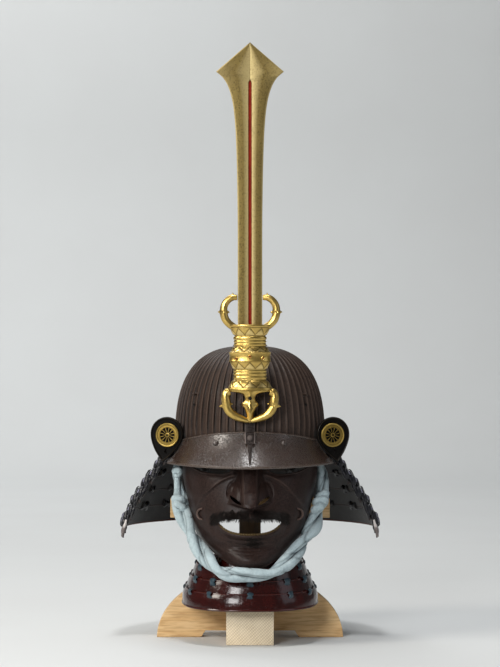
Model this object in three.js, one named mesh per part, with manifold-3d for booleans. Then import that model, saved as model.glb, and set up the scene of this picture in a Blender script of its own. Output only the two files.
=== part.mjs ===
// Kabuto samurai helmet with its crest, neck guard, half mask, throat guard and chin cord,
// held on a plain wooden stand.
// Millimetres, +Z up. The face looks along -Y and the stand's beam rests on the plane z = 0.

import * as THREE from "three";
import { mergeVertices } from "three/addons/utils/BufferGeometryUtils.js";
import Module from "manifold-3d";

const wasm = await Module();
wasm.setup();

// ---------------------------------------------------------------- driving dimensions

const GAP = 0.3; // clearance kept between pieces that touch

const BOWL = {
  plates: 62, halfWidth: 101, halfLength: 117, rimZ: 268, crownZ: 402, power: 2.75,
  wall: 2.4, ridge: 2.4, ridgeFullZ: 296,
  steepShare: 0.28, // share of a plate on the steep side of its ridge
  levels: [0, 10, 22, 36, 51, 67, 84], // rings of the outer face, in degrees from the rim up to the crown hole
  innerLevels: [0, 24, 46, 64, 84],
};
const CROWN_RING = {
  innerRadius: 13, outerRadius: 24, height: 4.5, lobes: 8, notch: 1.8, bevel: 1.6, z: 401.6,
};
const PIN = { x: 70, z: 337, bowlHalfThere: 94, radius: 1.8, length: 8, shoulder: 4.8 };

const PEAK = {
  halfAngle: 60, topZ: 288, topSideZ: 275, edgeX: 131.3, edgeDepth: 196, edgeOffset: 46,
  edgeZ: 241.3, edgeSideZ: 243.7, wall: 1.9, rim: 3.3, rimShare: 0.95, standOff: 3.1, belly: 3.5,
  columns: 24, rows: [0, 0.3, 0.62, 0.93, 0.96, 1],
};
const PEAK_RIVET = { x: 46, z: 274.5, bowlHalfThere: 111, seat: 0.45, radius: 4, height: 2.6 };
const BRACKET = {
  barSeat: 0.6, plateSeat: 0.7,
  rows: [
    // height, half width, thickness: the bar up the bowl, the plate on the peak, the spike down it
    { z: 321, half: 6, thick: 2.4 }, { z: 288.5, half: 6, thick: 2.4 }, { z: 287.5, half: 7, thick: 3.4 },
    { z: 273, half: 7, thick: 3.4 }, { z: 272.4, half: 3.4, thick: 2.8 }, { z: 246, half: 0.9, thick: 2.2 },
  ],
  plateRows: [2, 3],
};
const BRACKET_RIVET = { radius: 4, height: 3 };

const CREST_Y = -129; // the plane that the whole crest stands in
const BLADE = {
  thickness: 2.4, tangHalf: 12, tangZ: 408, shoulderZ: 430.4,
  outline: [
    // height, half width
    { z: 430.4, half: 16.2 }, { z: 550, half: 16.3 }, { z: 628, half: 17.2 }, { z: 680, half: 18.8 },
    { z: 704, half: 20.4 }, { z: 720, half: 22.2 }, { z: 734, half: 25 }, { z: 748, half: 29.8 },
    { z: 758, half: 36 }, { z: 766, half: 45 },
  ],
  tipZ: 805,
};
const GROOVE = { half: 2.2, depth: 1, bottomZ: 431.4, topZ: 752, pointZ: 756 };
const HILT = {
  flatness: 0.5, sides: 14,
  profile: [
    // height, half width: cup, rings, upper bell, centre band, lower bell, rings, flare
    { z: 430, half: 28.5 }, { z: 423, half: 25.4 }, { z: 415.5, half: 20.4 }, { z: 414, half: 21.9 },
    { z: 410, half: 21.9 }, { z: 408.5, half: 20.3 }, { z: 403, half: 21.6 }, { z: 400, half: 20.6 },
    { z: 394, half: 27.4 }, { z: 383, half: 27.4 }, { z: 376, half: 23.2 }, { z: 370.5, half: 21.4 },
    { z: 369, half: 22.8 }, { z: 364.5, half: 22.8 }, { z: 363, half: 21.2 }, { z: 358, half: 21.8 },
    { z: 351, half: 24.8 }, { z: 344.5, half: 29.5 },
  ],
};
const HILT_STUD = {
  radius: 2.6, height: 2.2, seat: 0.8,
  places: [{ x: -18, z: 385.5 }, { x: 0, z: 388.5 }, { x: 17, z: 386.5 }],
};
const PRONG = { depth: 7, bevel: 1, spine: [
  // centre line of one claw and its breadth there
  { x: 20, z: 425.5, breadth: 9 }, { x: 27, z: 430.5, breadth: 8.8 }, { x: 32.5, z: 437.5, breadth: 8.8 },
  { x: 35.6, z: 447.5, breadth: 9.4 }, { x: 34, z: 457.2, breadth: 7.8 }, { x: 29, z: 464.4, breadth: 6.8 },
  { x: 23, z: 468, breadth: 6 }, { x: 17, z: 467.6, breadth: 4.8 },
] };
const CLAW_POINTS = {
  depth: 4, z: 447.5, halfHeight: 4, inner: { root: 35, tip: 28 }, outer: { root: 38.5, tip: 43 },
};
const HEAD = {
  depth: 9, topZ: 345.5, bevel: 1.2, tipZ: 299.8, eyeZ: 333, eyeRadius: 2.4,
  half: [
    // one side of the outline, from the flare down to the tip
    [28, 345.5], [34, 343.6], [37.4, 338.5], [38.2, 331], [38.4, 327.5], [41.2, 322.6], [36.5, 318.5],
    [33, 313], [28.5, 307.8], [20, 303.3], [6, 301.5],
  ],
  hole: [
    // one opening: a round upper lobe, a cusp on either side, and a lower lobe drawn towards the tip
    [7, 333], [8.2, 337.2], [12, 339.6], [17, 340], [22.5, 338.6], [26.4, 335], [27.2, 330.5], [25, 325.4],
    [26.6, 321.5], [25.4, 316], [21, 311.6], [14.5, 308.8], [7.6, 307.2], [4.6, 308.2], [5, 312.5], [7.8, 319.6],
    [11.4, 324.6], [9, 328.5],
  ],
};
const DIAMOND = { radius: 7.2, height: 7, stretch: 1.9, y: -135, z: 317 };

const TURNBACK = {
  x: 112.5, y: -58, discZ: 284.5, radius: 22, tipZ: 244.5, tipX: 118.8, tipHalf: 3.4, tipBlunt: 2,
  dropAngle: 18, wall: 4, bevel: 1, yaw: 14,
};
const DISC = {
  radius: 16.2, thickness: 2.6, sides: 16, slots: 12,
  section: [
    // radius and height above the leather: middle hole, rim, sunk ring, raised rosette ring, middle boss
    [1.4, 0], [16.2, 0], [16.2, 2.16], [15, 2.6], [13.8, 1.5], [10.9, 1.5], [10.2, 2.4], [9.3, 1.5], [3, 1.5],
    [1.4, 2.3], [1.4, 0],
  ],
  slot: { innerRadius: 3.9, outerRadius: 8.8, innerHalf: 0.35, outerHalf: 1.15 },
};

const NECK = {
  lames: 5, topZ: 272, pitch: 23.6, overlap: 6.5, wall: 1.8, step: 3.2, columns: 24,
  frontTopY: -39, frontBottomY: -29, tipDroop: 12, droopFrom: 80, droopSpan: 22, droopFullZ: 152,
  lacingWidth: 16, lacingWall: 1.7, lacingEnd: 0.4, lacingLap: 1.5, lacingHem: 2,
  profile: [
    // height, half width at the sides, reach at the back, and the same curve's reach in front
    { z: 272, half: 104.6, back: 121, front: 121 }, { z: 248, half: 122.5, back: 138, front: 124 },
    { z: 228, half: 134.5, back: 147, front: 128 }, { z: 204, half: 147.5, back: 155, front: 136 },
    { z: 178, half: 157.5, back: 160, front: 145 }, { z: 152, half: 164.5, back: 163, front: 150 },
    { z: 130, half: 167.5, back: 165, front: 153 },
  ],
};

const MASK = {
  wall: 2.2, columns: 28, centreY: -30, power: 2.25, endAngle: 104,
  evenShare: 0.62, // share of the columns' spread that is even; the rest crowds them towards the middle
  rows: [0, 0.05, 0.12, 0.21, 0.3, 0.38, 0.46, 0.53, 0.565, 0.6, 0.65, 0.72, 0.8, 0.9, 1],
  edges: [
    // angle from the front, height of the upper edge and of the lower edge
    { angle: 0, top: 252, bottom: 102 }, { angle: 8, top: 248, bottom: 102.5 },
    { angle: 13, top: 234, bottom: 103.5 }, { angle: 22, top: 227.5, bottom: 106 },
    { angle: 40, top: 229, bottom: 115 }, { angle: 62, top: 233, bottom: 131 },
    { angle: 85, top: 236, bottom: 147 }, { angle: 104, top: 236, bottom: 158 },
  ],
  levels: [
    // height, half width, depth of the front
    { z: 102, half: 30, front: 114 }, { z: 107, half: 38, front: 120 }, { z: 115, half: 48, front: 124 },
    { z: 125, half: 58, front: 122.5 }, { z: 136, half: 66, front: 120 }, { z: 148, half: 73, front: 121 },
    { z: 160, half: 78, front: 122 }, { z: 175, half: 81.5, front: 121.5 }, { z: 192, half: 85, front: 119 },
    { z: 210, half: 89, front: 115 }, { z: 228, half: 92, front: 111.5 }, { z: 252, half: 92.5, front: 109 },
  ],
};
const FACE = {
  // nose: narrow at the bridge, wide at the wings, with the tip lowest and an underside below it
  nose: {
    topZ: 252, tipZ: 193, bridgeHalf: 12, wingHalf: 25, widening: 1.8, bridgeRise: 9, tipRise: 31, rising: 1.15,
    edge: 1.5, round: 0.9, underZ: 184.5, underHeight: 7,
  },
  wing: { x: 19, wide: 6.5, z: 196, high: 8, rise: 7 },
  // cheek: full above a fold that runs from beside the nose down to the jaw
  fold: { x: 17, z: 227, slope: 0.55, bow: 0.0022, blend: 3 },
  cheek: { rise: 3.4, aboveFold: 6, high: 26, fromX: 16, blend: 12 },
  swells: [
    // upper lip, lower lip, hollow under it and chin: height, reach up and down, reach across, rise
    { z: 171, high: 9, wide: 44, rise: 3.2 }, { z: 146, high: 6, wide: 34, rise: 3.4 },
    { z: 134, high: 6, wide: 30, rise: -3 }, { z: 117, high: 10, wide: 30, rise: 4.5 },
  ],
};
const MOUTH = { half: 41, cornerZ: 167, topZ: 169.5, bottomZ: 151.5, steps: 16, lowerBow: 2.6, upperBow: 6 };
const NOSTRIL = [
  // x and z round the left-hand one
  [26.5, 199], [24, 199.4], [13, 191.4], [11, 188.8], [16, 189.6], [25, 195.5],
];
const FACE_CUT = { depth: 80, y: -135 }; // reach of the cuts through the face
const MOUSTACHE = {
  half: 47, thickness: 4.2, edgeShare: 0.45, columns: 14, rows: [0, 0.35, 0.7, 1], z: 170.6,
  droop: 2.25, droopBow: 2.4, midBreadth: 9, endBreadth: 7, seat: 2.6, back: 1,
};
const CHEEK_HOOK = {
  x: 73, z: 177, radius: 7.5, rod: 1.3, bends: [-62, -35, 0, 35, 62], inset: 4, standOff: 2.6,
};
const CHIN_PEG = {
  x: 41, z: 116, radius: 2.2, length: 14, neck: 11, knob: 3.2, knobFrom: 11.8, knobTo: 13.4, seat: 1.5,
  outward: [0.25, -1, -0.1],
};

const THROAT = {
  lames: 4, wall: 1.8, step: 2.8, columns: 18, centreY: -30, endAngle: 100, power: 2.2,
  bottomZ: 49, pitch: 16.6, overlap: 5.5, endRise: 7,
  profile: [
    // height, half width, depth of the front
    { z: 40, half: 93, front: 118 }, { z: 61, half: 91.5, front: 114.5 }, { z: 77, half: 87, front: 110 },
    { z: 94, half: 82, front: 106 }, { z: 112, half: 77, front: 102 }, { z: 130, half: 72, front: 98 },
  ],
};

const CORD = {
  sides: 8,
  strands: [
    // each strand is one loop from the helmet's left ring, under the chin, to its right ring
    { name: "chin_cord_outer", radius: 4.7, steps: 40, route: [
      { x: -87, y: -18, z: 262 }, { x: -93, y: -18, z: 246 }, { x: -101.5, y: -22, z: 232 },
      { x: -99, y: -30, z: 214 }, { x: -96.5, y: -36, z: 198 }, { x: -96, y: -46, z: 184 },
      { x: -85.5, y: -68, z: 165 }, { x: -76, y: -84, z: 139 }, { x: -62, y: -101, z: 120 },
      { x: -48, y: -116, z: 106 }, { x: -33, y: -125, z: 97.5 }, { x: -12, y: -128.5, z: 94.5 },
      { x: 12, y: -128.5, z: 94.5 }, { x: 30, y: -125, z: 99 }, { x: 44, y: -116, z: 110 },
      { x: 58, y: -103, z: 124 }, { x: 73, y: -86, z: 141 }, { x: 86, y: -68, z: 160 },
      { x: 93, y: -54, z: 178 }, { x: 101, y: -42, z: 195 }, { x: 101, y: -32, z: 213 },
      { x: 100, y: -24, z: 231 }, { x: 94, y: -18, z: 247 }, { x: 87, y: -18, z: 262 },
    ] },
    { name: "chin_cord_inner", radius: 4.3, steps: 38, route: [
      { x: -86, y: -6, z: 262 }, { x: -93, y: -8, z: 244 }, { x: -99.5, y: -12, z: 226 },
      { x: -97.5, y: -20, z: 208 }, { x: -94, y: -27, z: 192 }, { x: -90.5, y: -40, z: 174 },
      { x: -83, y: -60, z: 153 }, { x: -71, y: -79, z: 130 }, { x: -57, y: -96, z: 112 },
      { x: -43, y: -107, z: 99 }, { x: -28, y: -114, z: 91.5 }, { x: -10, y: -117, z: 88.5 },
      { x: 10, y: -117, z: 88.5 }, { x: 28, y: -114, z: 91.5 }, { x: 43, y: -107, z: 99 },
      { x: 57, y: -96, z: 112 }, { x: 71, y: -79, z: 130 }, { x: 83, y: -60, z: 153 },
      { x: 90.5, y: -40, z: 174 }, { x: 94, y: -27, z: 192 }, { x: 97.5, y: -20, z: 208 },
      { x: 99.5, y: -12, z: 226 }, { x: 93, y: -8, z: 244 }, { x: 86, y: -6, z: 262 },
    ] },
  ],
};

const BOARD = {
  half: 128.5, height: 88, topZ: 80, thickness: 24, footHalf: 67.5, footHeight: 9, chamfer: 6, arcSteps: 8,
};
const BEAM = { half: 32, height: 50, frontY: -86, backY: 112 };
const POST = { half: 15, frontY: 24.3, backY: 50.3, topZ: 352 };
const CROSSBAR = { half: 110, bottomZ: 165, topZ: 192, frontY: -3.5 };
const HEAD_BLOCK = {
  sides: 20, section: [
    // radius and height
    [0, 352.3], [40, 352.3], [55, 364.3], [57, 375], [52, 385], [0, 385],
  ],
};

// ---------------------------------------------------------------- finishes

function finish(color, roughness, metalness) {
  return () => new THREE.MeshStandardMaterial({ color, roughness, metalness });
}

const FINISH = {
  russetIron: finish(0x4a3a34, 0.55, 0.6),
  peakIron: finish(0x57453c, 0.5, 0.65),
  brass: finish(0x9c8a4e, 0.5, 0.85),
  gilt: finish(0xd8b648, 0.28, 1),
  redLacquer: finish(0x8e2a1e, 0.35, 0),
  blackLacquer: finish(0x17161a, 0.35, 0.1),
  throatLacquer: finish(0x4b1712, 0.2, 0.1),
  lacing: finish(0x262a3e, 0.9, 0),
  hair: finish(0x14110f, 0.9, 0),
  cloth: finish(0xa9bcc0, 0.95, 0),
  wood: finish(0xd3ab78, 0.65, 0),
};

// ---------------------------------------------------------------- helpers

const radians = THREE.MathUtils.degToRad;
const lerp = THREE.MathUtils.lerp;

const object = new THREE.Group();

function add(name, geometry, makeMaterial) {
  const mesh = new THREE.Mesh(geometry, makeMaterial());
  mesh.name = name;
  object.add(mesh);
  return mesh;
}

// Reads a column of a table of rows that is sorted by key, with straight lines between the rows.
function interpolate(rows, key, value, column) {
  const ordered = rows[0][key] < rows[rows.length - 1][key] ? rows : [...rows].reverse();
  if (value <= ordered[0][key]) return ordered[0][column];
  for (let i = 1; i < ordered.length; i += 1) {
    const low = ordered[i - 1];
    const high = ordered[i];
    const share = (value - low[key]) / (high[key] - low[key]);
    if (share <= 1) return lerp(low[column], high[column], share);
  }
  return ordered[ordered.length - 1][column];
}

function bareGeometry(points, triangles) {
  const geometry = new THREE.BufferGeometry();
  const numbers = points.flatMap((p) => [p.x, p.y, p.z]);
  geometry.setAttribute("position", new THREE.Float32BufferAttribute(numbers, 3));
  geometry.setIndex(triangles.flat());
  return geometry;
}

function signedVolume(points, triangles) {
  const cross = new THREE.Vector3();
  const sixfold = ([a, b, c]) => points[a].dot(cross.crossVectors(points[b], points[c]));
  return triangles.reduce((sum, corners) => sum + sixfold(corners), 0) / 6;
}

// Turns every triangle round if the closed surface would otherwise face inwards.
function facingOut(points, triangles) {
  if (signedVolume(points, triangles) >= 0) return bareGeometry(points, triangles);
  return bareGeometry(points, triangles.map(([a, b, c]) => [a, c, b]));
}

// A closed wall between an outer and an inner grid of the same size, open or wrapped round in u.
function wallBetween(outer, inner, wrapped = false) {
  const across = outer.length;
  const along = outer[0].length;
  const points = [...outer.flat(), ...inner.flat()];
  const out = (i, j) => (i % across) * along + j;
  const back = (i, j) => across * along + out(i, j);
  const triangles = [];
  const quad = (a, b, c, d) => triangles.push([a, b, c], [a, c, d]);
  const spans = wrapped ? across : across - 1;
  for (let i = 0; i < spans; i += 1) {
    for (let j = 0; j < along - 1; j += 1) {
      quad(out(i, j), out(i + 1, j), out(i + 1, j + 1), out(i, j + 1));
      quad(back(i, j), back(i, j + 1), back(i + 1, j + 1), back(i + 1, j));
    }
    quad(out(i, 0), back(i, 0), back(i + 1, 0), out(i + 1, 0));
    quad(out(i, along - 1), out(i + 1, along - 1), back(i + 1, along - 1), back(i, along - 1));
  }
  if (!wrapped) {
    const last = across - 1;
    for (let j = 0; j < along - 1; j += 1) {
      quad(out(0, j), out(0, j + 1), back(0, j + 1), back(0, j));
      quad(out(last, j), back(last, j), back(last, j + 1), out(last, j + 1));
    }
  }
  return facingOut(points, triangles);
}

function normalOf(surface, u, v) {
  const h = 1e-3;
  const du = surface(u + h, v).sub(surface(u - h, v));
  const dv = surface(u, v + h).sub(surface(u, v - h));
  return du.cross(dv).normalize();
}

// A wall of the given thickness behind surface(u, v); offset moves its face out from the surface.
// thickness may be a number or a function of v.
function wallOn(surface, us, vs, thickness, { offset = 0, away = (p) => p } = {}) {
  const thick = typeof thickness === "function" ? thickness : () => thickness;
  const outer = us.map(() => []);
  const inner = us.map(() => []);
  us.forEach((u, i) => vs.forEach((v) => {
    const face = surface(u, v);
    const normal = normalOf(surface, u, v);
    if (normal.dot(away(face)) < 0) normal.negate();
    outer[i].push(face.clone().addScaledVector(normal, offset));
    inner[i].push(face.clone().addScaledVector(normal, offset - thick(v)));
  }));
  return wallBetween(outer, inner);
}

// Steps from a to b with both ends in, spread by an optional easing of 0..1.
function steps(a, b, count, ease = (t) => t) {
  return Array.from({ length: count + 1 }, (_, i) => lerp(a, b, ease(i / count)));
}

// A closed solid through rings of equal count, with a flat fan on each end.
function loft(rings) {
  const count = rings[0].length;
  const points = rings.flat();
  const triangles = [];
  for (let k = 0; k < rings.length - 1; k += 1) {
    for (let i = 0; i < count; i += 1) {
      const a = k * count + i;
      const b = k * count + ((i + 1) % count);
      triangles.push([a, b, b + count], [a, b + count, a + count]);
    }
  }
  const top = (rings.length - 1) * count;
  for (let i = 1; i < count - 1; i += 1) {
    triangles.push([0, i + 1, i], [top, top + i, top + i + 1]);
  }
  return facingOut(points, triangles);
}

function solid(geometry) {
  const bare = geometry.clone();
  bare.deleteAttribute("normal");
  bare.deleteAttribute("uv");
  const merged = mergeVertices(bare, 1e-4);
  const vertProperties = new Float32Array(merged.attributes.position.array);
  const corners = [];
  for (let i = 0; i < merged.index.count; i += 3) {
    const [a, b, c] = merged.index.array.slice(i, i + 3);
    if (a !== b && b !== c && c !== a) corners.push(a, b, c);
  }
  const triVerts = new Uint32Array(corners);
  return new wasm.Manifold(new wasm.Mesh({ numProp: 3, vertProperties, triVerts }));
}

function geometryOf(manifold) {
  const { vertProperties, triVerts } = manifold.getMesh();
  const geometry = new THREE.BufferGeometry();
  geometry.setAttribute("position", new THREE.BufferAttribute(new Float32Array(vertProperties), 3));
  geometry.setIndex(new THREE.BufferAttribute(new Uint32Array(triVerts), 1));
  return geometry;
}

const join = (geometries) => geometryOf(geometries.map(solid).reduce((whole, next) => whole.add(next)));

function cut(geometry, ...cutters) {
  return geometryOf(cutters.map(solid).reduce((rest, cutter) => rest.subtract(cutter), solid(geometry)));
}

function block(x0, x1, y0, y1, z0, z1) {
  const geometry = new THREE.BoxGeometry(x1 - x0, y1 - y0, z1 - z0);
  return geometry.translate((x0 + x1) / 2, (y0 + y1) / 2, (z0 + z1) / 2);
}

// A shape drawn in x and z, made depth thick about the plane y.
function plate(shape, depth, y, bevel = 0, curveSegments = 8) {
  const geometry = new THREE.ExtrudeGeometry(shape, {
    depth: depth - 2 * bevel, steps: 1, curveSegments, bevelEnabled: bevel > 0,
    bevelThickness: bevel, bevelSize: bevel, bevelOffset: -bevel, bevelSegments: 1,
  });
  return geometry.rotateX(Math.PI / 2).translate(0, y + depth / 2 - bevel, 0);
}

// A shape through pairs of numbers, always drawn anticlockwise so that its holes are cut the right way.
function shapeOf(pairs) {
  const points = pairs.map(([x, z]) => new THREE.Vector2(x, z));
  return new THREE.Shape(THREE.ShapeUtils.isClockWise(points) ? points.reverse() : points);
}

function latheZ(profile, sides) {
  const geometry = new THREE.LatheGeometry(profile.map(([r, z]) => new THREE.Vector2(r, z)), sides);
  return geometry.rotateX(Math.PI / 2);
}

// A low dome on a short shank, standing on the plane z = 0 and pointing along +Z.
function dome(radius, height, sides = 10) {
  const profile = [[0, 0], [radius, 0], [radius * 0.92, height * 0.5], [radius * 0.55, height * 0.9], [0, height]];
  return latheZ(profile, sides);
}

function turnedTo(geometry, position, direction) {
  const up = new THREE.Vector3(0, 0, 1);
  const quaternion = new THREE.Quaternion().setFromUnitVectors(up, direction.clone().normalize());
  return geometry.applyQuaternion(quaternion).translate(position.x, position.y, position.z);
}

function tube(route, radius, sides, stepCount) {
  const points = route.map(({ x, y, z }) => new THREE.Vector3(x, y, z));
  const curve = new THREE.CatmullRomCurve3(points, false, "centripetal");
  const section = new THREE.Shape(Array.from({ length: sides }, (_, i) => {
    const angle = (2 * Math.PI * i) / sides;
    return new THREE.Vector2(radius * Math.cos(angle), radius * Math.sin(angle));
  }));
  return new THREE.ExtrudeGeometry(section, { steps: stepCount, extrudePath: curve, bevelEnabled: false });
}

const roundPower = (value, power) => Math.sign(value) * Math.abs(value) ** (2 / power);

// ---------------------------------------------------------------- bowl

// A point of the bowl: angle from the front towards +X, level angle 0 at the rim to 90 at the crown.
function bowlPoint(angle, level, inset = 0, raise = 0) {
  const height = BOWL.crownZ - BOWL.rimZ - inset;
  const reach = roundPower(Math.cos(radians(level)), BOWL.power);
  const z = BOWL.rimZ + height * roundPower(Math.sin(radians(level)), BOWL.power);
  const x = (BOWL.halfWidth - inset + raise) * reach * Math.sin(radians(angle));
  const y = -(BOWL.halfLength - inset + raise) * reach * Math.cos(radians(angle));
  return new THREE.Vector3(x, y, z);
}

// The bowl's outer face at a height, before its ridges.
function bowlAt(angle, z, offset = 0) {
  const rise = (z - BOWL.rimZ) / (BOWL.crownZ - BOWL.rimZ);
  const reach = (1 - rise ** BOWL.power) ** (1 / BOWL.power);
  const x = (BOWL.halfWidth * reach + offset) * Math.sin(radians(angle));
  const y = -(BOWL.halfLength * reach + offset) * Math.cos(radians(angle));
  return new THREE.Vector3(x, y, z);
}

function buildBowl() {
  const { plates, ridge, wall, ridgeFullZ, rimZ, steepShare, levels, innerLevels } = BOWL;
  const plateAngle = 360 / plates;
  const outerRings = levels.map((level) => Array.from({ length: 2 * plates }, (_, i) => {
    const onRidge = i % 2 === 0;
    const angle = (Math.floor(i / 2) + (onRidge ? 0 : steepShare)) * plateAngle;
    const z = bowlPoint(0, level).z;
    const grown = THREE.MathUtils.clamp((z - rimZ) / (ridgeFullZ - rimZ), 0, 1);
    const faded = level === levels[levels.length - 1] ? 0 : 1;
    return bowlPoint(angle, level, 0, onRidge ? ridge * grown * faded : 0);
  }));
  const innerRings = innerLevels.map((level) => Array.from({ length: plates }, (_, i) => {
    return bowlPoint(i * plateAngle, level, wall);
  }));
  const points = [...outerRings.flat(), ...innerRings.flat()];
  const count = 2 * plates;
  const out = (k, i) => k * count + (i % count);
  const inn = (k, i) => levels.length * count + k * plates + (i % plates);
  const triangles = [];
  for (let k = 0; k < levels.length - 1; k += 1) {
    for (let i = 0; i < count; i += 1) {
      const [a, b, c, d] = [out(k, i), out(k, i + 1), out(k + 1, i + 1), out(k + 1, i)];
      triangles.push([a, b, c], [a, c, d]);
    }
  }
  for (let k = 0; k < innerLevels.length - 1; k += 1) {
    for (let i = 0; i < plates; i += 1) {
      const [a, b, c, d] = [inn(k, i), inn(k, i + 1), inn(k + 1, i + 1), inn(k + 1, i)];
      triangles.push([a, c, b], [a, d, c]);
    }
  }
  const lastOuter = levels.length - 1;
  const lastInner = innerLevels.length - 1;
  for (let i = 0; i < plates; i += 1) {
    const [a, b, c] = [out(0, 2 * i), out(0, 2 * i + 1), out(0, 2 * i + 2)];
    triangles.push([a, inn(0, i), b], [b, inn(0, i + 1), c], [b, inn(0, i), inn(0, i + 1)]);
    const [d, e, f] = [out(lastOuter, 2 * i), out(lastOuter, 2 * i + 1), out(lastOuter, 2 * i + 2)];
    triangles.push([d, e, inn(lastInner, i)], [e, f, inn(lastInner, i + 1)]);
    triangles.push([e, inn(lastInner, i + 1), inn(lastInner, i)]);
  }
  add("bowl", facingOut(points, triangles), FINISH.russetIron);
}

function buildCrownRing() {
  const { innerRadius, outerRadius, height, lobes, notch, bevel, z } = CROWN_RING;
  const petals = Array.from({ length: 3 * lobes }, (_, i) => {
    const angle = (2 * Math.PI * i) / (3 * lobes);
    const radius = outerRadius - (i % 3 === 0 ? notch : 0);
    return [radius * Math.cos(angle), radius * Math.sin(angle)];
  });
  const shape = shapeOf(petals);
  shape.holes.push(new THREE.Path().absarc(0, 0, innerRadius, 0, 2 * Math.PI, true));
  const ring = new THREE.ExtrudeGeometry(shape, {
    depth: height - 2 * bevel, steps: 1, curveSegments: 8, bevelEnabled: true,
    bevelThickness: bevel, bevelSize: bevel, bevelOffset: -bevel, bevelSegments: 1,
  });
  add("crown_ring", ring.translate(0, 0, z + GAP + bevel), FINISH.russetIron);
}

function buildPins() {
  for (const [side, sign] of [["left", -1], ["right", 1]]) {
    const angle = THREE.MathUtils.radToDeg(Math.asin(PIN.x / PIN.bowlHalfThere));
    const root = bowlAt(sign * angle, PIN.z, BOWL.ridge + GAP);
    const outward = new THREE.Vector3(root.x, root.y, 0);
    const pin = latheZ([[0, 0], [PIN.radius, 0], [PIN.radius, PIN.shoulder], [0, PIN.length]], 8);
    add(`cord_pin_${side}`, turnedTo(pin, root, outward), FINISH.russetIron);
  }
}

// ---------------------------------------------------------------- peak and crest bracket

// u is the angle from the front, v runs from the joint with the bowl (0) to the free edge (1).
function peakPoint(u, v) {
  const side = 1 - Math.cos(radians(u) * (90 / PEAK.halfAngle));
  const root = bowlAt(u, lerp(PEAK.topZ, PEAK.topSideZ, side), PEAK.standOff);
  const edge = new THREE.Vector3(
    PEAK.edgeX * Math.sin(radians(u)),
    PEAK.edgeOffset - PEAK.edgeDepth * Math.cos(radians(u)),
    lerp(PEAK.edgeZ, PEAK.edgeSideZ, side),
  );
  const point = root.lerp(edge, v);
  const inward = new THREE.Vector3(-point.x, -point.y, 0).normalize();
  return point.addScaledVector(inward, PEAK.belly * 4 * v * (1 - v));
}

const awayFromAxis = (p) => new THREE.Vector3(p.x, p.y, 0);

// The height along the peak's slope, 0..1, at which its centre line passes a given z.
const peakShare = (z) => (PEAK.topZ - z) / (PEAK.topZ - PEAK.edgeZ);

function buildPeak() {
  const us = steps(-PEAK.halfAngle, PEAK.halfAngle, PEAK.columns);
  const thickness = (v) => (v > PEAK.rimShare ? PEAK.rim : PEAK.wall);
  add("peak", wallOn(peakPoint, us, PEAK.rows, thickness, { away: awayFromAxis }), FINISH.peakIron);
  for (const [side, sign] of [["left", -1], ["right", 1]]) {
    const u = sign * THREE.MathUtils.radToDeg(Math.asin(PEAK_RIVET.x / PEAK_RIVET.bowlHalfThere));
    const v = peakShare(PEAK_RIVET.z);
    const normal = normalOf(peakPoint, u, v);
    if (normal.dot(awayFromAxis(peakPoint(u, v))) < 0) normal.negate();
    const foot = peakPoint(u, v).addScaledVector(normal, PEAK_RIVET.seat);
    const rivet = dome(PEAK_RIVET.radius, PEAK_RIVET.height);
    add(`peak_rivet_${side}`, turnedTo(rivet, foot, normal), FINISH.peakIron);
  }
}

function buildBracket() {
  const backY = (z) => {
    if (z > PEAK.topZ) return bowlAt(0, PEAK.topZ).y - PEAK.standOff - BRACKET.barSeat;
    return peakPoint(0, peakShare(z)).y - BRACKET.plateSeat;
  };
  const rings = BRACKET.rows.map(({ z, half, thick }) => {
    const y = backY(z);
    const corners = [[-half, y], [half, y], [half, y - thick], [-half, y - thick]];
    return corners.map(([across, out]) => new THREE.Vector3(across, out, z));
  });
  add("crest_bracket", loft(rings), FINISH.peakIron);
  const [upper, lower] = BRACKET.plateRows.map((index) => BRACKET.rows[index]);
  const slope = new THREE.Vector3(0, backY(lower.z) - backY(upper.z), lower.z - upper.z);
  const outward = new THREE.Vector3(0, slope.z, -slope.y).normalize();
  const middleY = (backY(lower.z) + backY(upper.z)) / 2;
  const foot = new THREE.Vector3(0, middleY - lower.thick, (lower.z + upper.z) / 2).addScaledVector(outward, GAP);
  const rivet = dome(BRACKET_RIVET.radius, BRACKET_RIVET.height);
  add("bracket_rivet", turnedTo(rivet, foot, outward), FINISH.peakIron);
}

// ---------------------------------------------------------------- crest

function buildBlade() {
  const right = BLADE.outline.map(({ z, half }) => [half, z]);
  const left = BLADE.outline.map(({ z, half }) => [-half, z]).reverse();
  const { tangHalf, tangZ, shoulderZ } = BLADE;
  const tang = [[-tangHalf, shoulderZ], [-tangHalf, tangZ], [tangHalf, tangZ], [tangHalf, shoulderZ]];
  const outline = plate(shapeOf([...right, [0, BLADE.tipZ], ...left, ...tang]), BLADE.thickness, CREST_Y);
  const grooveShape = (spare) => shapeOf([
    [-GROOVE.half + spare, GROOVE.bottomZ + spare], [GROOVE.half - spare, GROOVE.bottomZ + spare],
    [GROOVE.half - spare, GROOVE.topZ], [0, GROOVE.pointZ - spare], [-GROOVE.half + spare, GROOVE.topZ],
  ]);
  const face = CREST_Y - BLADE.thickness / 2;
  const groove = plate(grooveShape(0), 2 * GROOVE.depth, face);
  add("crest_blade", cut(outline, groove), FINISH.brass);
  const inlay = plate(grooveShape(GAP), GROOVE.depth - 2 * GAP, face + GROOVE.depth / 2);
  add("blade_groove", inlay, FINISH.redLacquer);
}

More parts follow.
